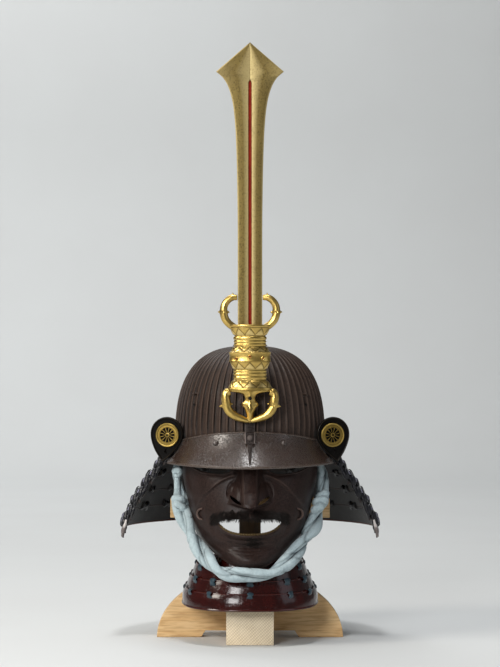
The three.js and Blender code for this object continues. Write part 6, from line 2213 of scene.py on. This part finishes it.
@dataclass
class ChinCord:
    """The padded cloth cord: two strands from the helmet's rings, tied up under the chin."""

    outer_radius: float = 6.9
    inner_radius: float = 6.6
    apart: float = 5.4
    lay: float = 23.0
    strap_share: float = 0.72
    drawn_up: float = 7.0
    hug: float = 0.028
    phase: float = 0.9
    outer: Route = (
        (-87, -18, 262), (-93, -18, 246), (-101.5, -22, 232), (-99, -30, 214), (-96.5, -36, 198),
        (-96, -46, 184), (-85.5, -68, 165), (-76, -84, 139), (-62, -101, 120), (-48, -116, 106),
        (-33, -125, 97.5), (-12, -128.5, 94.5), (12, -128.5, 94.5), (30, -125, 99), (44, -116, 110),
        (58, -103, 124), (73, -86, 141), (86, -68, 160), (93, -54, 178), (101, -42, 195),
        (101, -32, 213), (100, -24, 231), (94, -18, 247), (87, -18, 262),
    )
    inner: Route = (
        (-86, -6, 262), (-93, -8, 244), (-99.5, -12, 226), (-97.5, -20, 208), (-94, -27, 192),
        (-90.5, -40, 174), (-83, -60, 153), (-71, -79, 130), (-57, -96, 112), (-43, -107, 99),
        (-28, -114, 91.5), (-10, -117, 88.5), (10, -117, 88.5), (28, -114, 91.5), (43, -107, 99),
        (57, -96, 112), (71, -79, 130), (83, -60, 153), (90.5, -40, 174), (94, -27, 192),
        (97.5, -20, 208), (99.5, -12, 226), (93, -8, 244), (86, -6, 262),
    )
    # each turn of the knots: its middle, its size, the cord's radius there, and which way it leans
    turns: tuple[tuple[Any, float, float, Any], ...] = (
        ((-99.5, -29, 229), 2.6, 4.9, (0.2, 1, 0.3)), ((-97, -42, 192), 5.2, 5.4, (0.25, 0.5, 1)),
        ((-95, -48, 184), 5.4, 5.2, (0.7, 0.3, 1)), ((99, -44, 199), 5.2, 5.2, (-0.6, 0.2, 1)),
        ((96, -50, 190), 6.0, 5.6, (-0.2, 0.7, 1)), ((92, -56, 182), 5.2, 5.4, (-0.7, 0.4, 1)),
    )

    def middle(self) -> Array:
        """The line between the two strands, drawn up under the chin and in against the jaw."""
        path = (smooth_path(self.outer, 520) + smooth_path(self.inner, 520)) / 2
        path[:, 2] += self.drawn_up * bell(path[:, 0] / 52)
        path[:, 0] *= 1 - self.hug * bell((path[:, 2] - 128) / 24)
        return path

    def strand(self, radius: float, phase: float) -> Solid:
        """One of the two padded strands, wound round the other, with creases and soft lumps.

        Args:
            radius: its usual radius.
            phase: which side of the other strand it starts on.

        Returns:
            The strand, with its creases and the side pressed on the other strand marked for painted shade.
        """
        path = self.middle()
        run = lengths_along(path)[:, None]
        full = lerp(self.strap_share, 1, eased(-path[:, 2:], -204, -188))
        full = full * (1 - 0.16 * bell(path[:, :1] / 48))
        first, second = frames_along(path)
        wind = run / self.lay + phase + 0.35 * np.sin(run / 31)
        path = path + (np.cos(wind) * first + np.sin(wind) * second) * self.apart * full
        angle = all_round(32)[None, :]
        slow = 1 + 0.07 * np.sin(run / 15 + phase) + 0.05 * np.sin(run / 6.1 + 2 * phase)
        pressed = np.clip(-np.cos(angle - wind), 0, 1) ** 3
        slant = run / 5.6 + 1.7 * np.sin(angle - wind + phase) + 0.8 * np.sin(run / 19)
        deep = 0.5 + 0.5 * np.sin(run / 23 + 2 * phase + angle)
        crease = np.clip(np.sin(slant), 0, 1) ** 10 * deep
        from_seam = angle - wind - 1.4 - 0.5 * np.sin(run / 12)
        long_crease = bell(np.sin(from_seam / 2) / 0.1)
        reach = radius * full * (slow - 0.2 * crease - 0.16 * long_crease - 0.14 * pressed)
        one, two = reach * np.cos(angle), reach * np.sin(angle)
        return ring_solid(rings_about(path, one, two), {
            "straight_x": one, "straight_y": two, "straight_z": run + 0 * angle,
            "recess": np.clip(0.55 * crease + 0.5 * long_crease + 0.9 * pressed, 0, 1),
        })

    @staticmethod
    def knot_turn(centre: Sequence[float], size: float, radius: float, lean: Sequence[float]) -> Solid:
        """A fat turn of the cord round itself, where it is knotted."""
        angle, axis = all_round(48)[:, None], unit(lean)
        side = unit(np.cross(axis, (0.2, 1, 0.1)))
        ring = centre + size * (np.cos(angle) * side + np.sin(angle) * np.cross(axis, side))
        return sweep(ring, radius * (1 + 0.1 * np.sin(3 * angle)), 16, closed=True)

    def build(self) -> None:
        """Builds the strands, and the knots beside the jaw as one piece."""
        for name, radius, phase in (
            ("outer", self.outer_radius, self.phase), ("inner", self.inner_radius, self.phase + math.pi),
        ):
            strand, stands_for = self.strand(radius, phase), [f"chin_cord_{name}"]
            piece(f"cord_{name}", [strand], CORD_CLOTH, stands_for, crease=80)
        knots = [self.knot_turn(*row) for row in self.turns]
        piece("cord_knots", knots, CORD_CLOTH, crease=80)


# Stand


@dataclass
class Stand:
    """The plain wooden stand: half-round board, beam through it, post, crossbar and head block."""

    half: float = 128.5
    height: float = 88.0
    top_z: float = 80.0
    thickness: float = 24.0
    foot_half: float = 67.5
    foot_height: float = 9.0
    chamfer: float = 6.0
    beam_half: float = 32.0
    beam_height: float = 50.0
    block_stretch: float = 117 / 101  # the head block's length over its width, as the bowl's
    block_profile: Pairs = (
        (40, 352.3), (40.8, 352.6), (48, 358), (55, 364.3), (56.6, 366.5), (57, 369), (57, 375), (56, 379.5),
        (52, 384.2), (50, 385), (0.5, 385),
    )

    def build_board(self) -> None:
        """The half-round board with its feet and the notch that takes the beam."""
        arc = np.linspace(0, math.asin(self.top_z / self.height), 26)
        outline = [(self.half * math.cos(a), self.height * math.sin(a)) for a in arc]
        outline += [(-x, z) for x, z in reversed(outline)]
        side = self.beam_half + 0.3
        foot = [(self.foot_half, 0), (self.foot_half - self.chamfer, self.foot_height)]
        foot += [(x, self.foot_height) for x in (self.foot_half - 12, side)]
        foot.append((side, self.beam_height + 0.3))
        outline += [(-x, z) for x, z in foot] + foot[::-1]
        shape = np.array(outline)
        along = unit(np.roll(shape, -1, axis=0) - np.roll(shape, 1, axis=0))
        inward = np.stack([-along[:, 1], along[:, 0]], axis=1)
        front = [(0.0, 0.8), (0.3, 0.25), (0.8, 0.0)]
        rings = []
        for y, pulled in front + [(self.thickness - y, pulled) for y, pulled in front[::-1]]:
            x, z = (shape + inward * pulled).T
            rings.append(stacked(x, y, z))
        board = ring_solid(np.array(rings), ends=Ends.FLAT)
        piece("stand_board", [board], BOARD_WOOD, ["base_board"], crease=30)

    def build_bars(self) -> None:
        """The beam, post and crossbar, planed with eased edges."""
        beam = block((-self.beam_half, -86, 0), (self.beam_half, 112, self.beam_height), 0.9)
        post = block((-15, 24.3, self.beam_height + 0.3), (15, 50.3, 352), 0.9)
        crossbar = block((-110, -3.5, 165), (110, 24.0, 192), 1.0)
        piece("stand_beam", [beam], BEAM_WOOD, ["base_beam"])
        piece("stand_post", [post], SHADED_POST_WOOD, ["post"])
        piece("stand_crossbar", [crossbar], BOARD_WOOD, ["crossbar"])

    def build_head_block(self) -> None:
        """The turned block that the bowl rests on."""
        turned = revolve(self.block_profile, 72).moved(lambda p: p * (1, self.block_stretch, 1))
        piece("stand_head_block", [turned], BOARD_WOOD, ["head_block"])

    def build(self) -> None:
        """Builds the stand."""
        self.build_board()
        self.build_bars()
        self.build_head_block()


# Studio


@dataclass(frozen=True)
class Light:
    """A soft square light: where it stands, its side in metres, its power, and what it looks at."""

    name: str
    place: tuple[float, float, float]
    size: float
    power: float
    at: tuple[float, float, float]
    colour: str = "ffffff"

    def build(self) -> None:
        """Adds the light."""
        data = bpy.data.lights.new(self.name, "AREA")
        data.shape, data.size, data.energy = "SQUARE", self.size, self.power
        data.color = linear(self.colour)[:3]
        light = linked(self.name, data)
        light.location = self.place
        light.rotation_euler = (Vector(self.at) - Vector(self.place)).to_track_quat("-Z", "Y").to_euler()


@dataclass
class Studio:
    """The pale sweep, the soft lights and the level camera, in metres."""

    distance: float = 3.23
    eye_z: float = 0.419
    lens: float = 126.3
    air: str = "dfe3e6"
    air_strength: float = 0.16
    side: float = 4.5
    front_y: float = -4.4
    bend_y: float = 3.4
    bend: float = 1.1
    top_z: float = 5.0
    under: float = 0.0002  # the floor lies this far under the stand's foot
    lights: tuple[Light, ...] = (
        Light("key", (-2.3, -1.4, 1.9), 1.0, 53, (0, 0, 0.3), "fff8ee"),
        Light("front_box", (-1.0, -2.6, 1.15), 0.8, 38, (0, 0, 0.2)),
        Light("fill", (2.4, -1.4, 1.2), 1.4, 6, (0, 0, 0.3), "eef4ff"),
        Light("overhead", (-0.3, 0.3, 2.9), 1.8, 20, (0, 0.3, 0)),
        Light("wall_wash", (-1.7, 2.6, 3.6), 2.2, 104, (-0.9, 4.5, 1.2)),
        Light("peak_box", (0.0, -0.74, 2.5), 0.3, 20, (0, 0, 0.25)),
    )

    def build_sweep(self) -> None:
        """One sheet of paper: the floor, a wide bend and the wall behind."""
        arc = np.radians(np.linspace(0, 90, 16))
        y = np.concatenate([[self.front_y], self.bend_y + self.bend * np.sin(arc), [self.bend_y + self.bend]])
        z = np.concatenate([[0], self.bend * (1 - np.cos(arc)), [self.top_z]])
        x = np.array([-self.side, self.side])
        grid = stacked(x[:, None], y[None, :], z[None, :] - self.under)
        mesh = bpy.data.meshes.new("studio_sweep")
        mesh.from_pydata(grid.reshape(-1, 3).tolist(), [], quads(2, len(y)))
        mesh.shade_smooth()
        mesh.materials.append(PAPER.material())
        linked("studio_sweep", mesh)

    def build(self) -> None:
        """Sets up the sweep, world, lights and camera."""
        self.build_sweep()
        world = bpy.data.worlds.new("studio_air")
        world.use_nodes = True
        air = {"Color": linear(self.air), "Strength": self.air_strength}
        plug(world.node_tree.nodes["Background"], air)
        scene = bpy.context.scene
        scene.world = world
        scene.view_settings.view_transform = "Standard"
        for light in self.lights:
            light.build()
        data = bpy.data.cameras.new("camera")
        data.lens, data.sensor_width = self.lens, 36
        camera = linked("camera", data)
        camera.location, camera.rotation_euler = (0, -self.distance, self.eye_z), (math.radians(90), 0, 0)
        scene.camera = camera


def main() -> None:
    """Builds every sub-assembly in order."""
    logging.basicConfig(level=logging.INFO, format="%(name)s: %(message)s")
    scatter = Scatter()
    bowl = Bowl()
    bowl.build()
    Peak(bowl).build(scatter)
    Crest().build(scatter)
    for side, sign in (("left", -1), ("right", 1)):
        TurnBack(side, sign).build()
    NeckGuard().build(scatter)
    Mask().build(scatter)
    ThroatGuard().build(scatter)
    ChinCord().build()
    Stand().build()
    Studio().build()


if __name__ == "__main__":
    main()
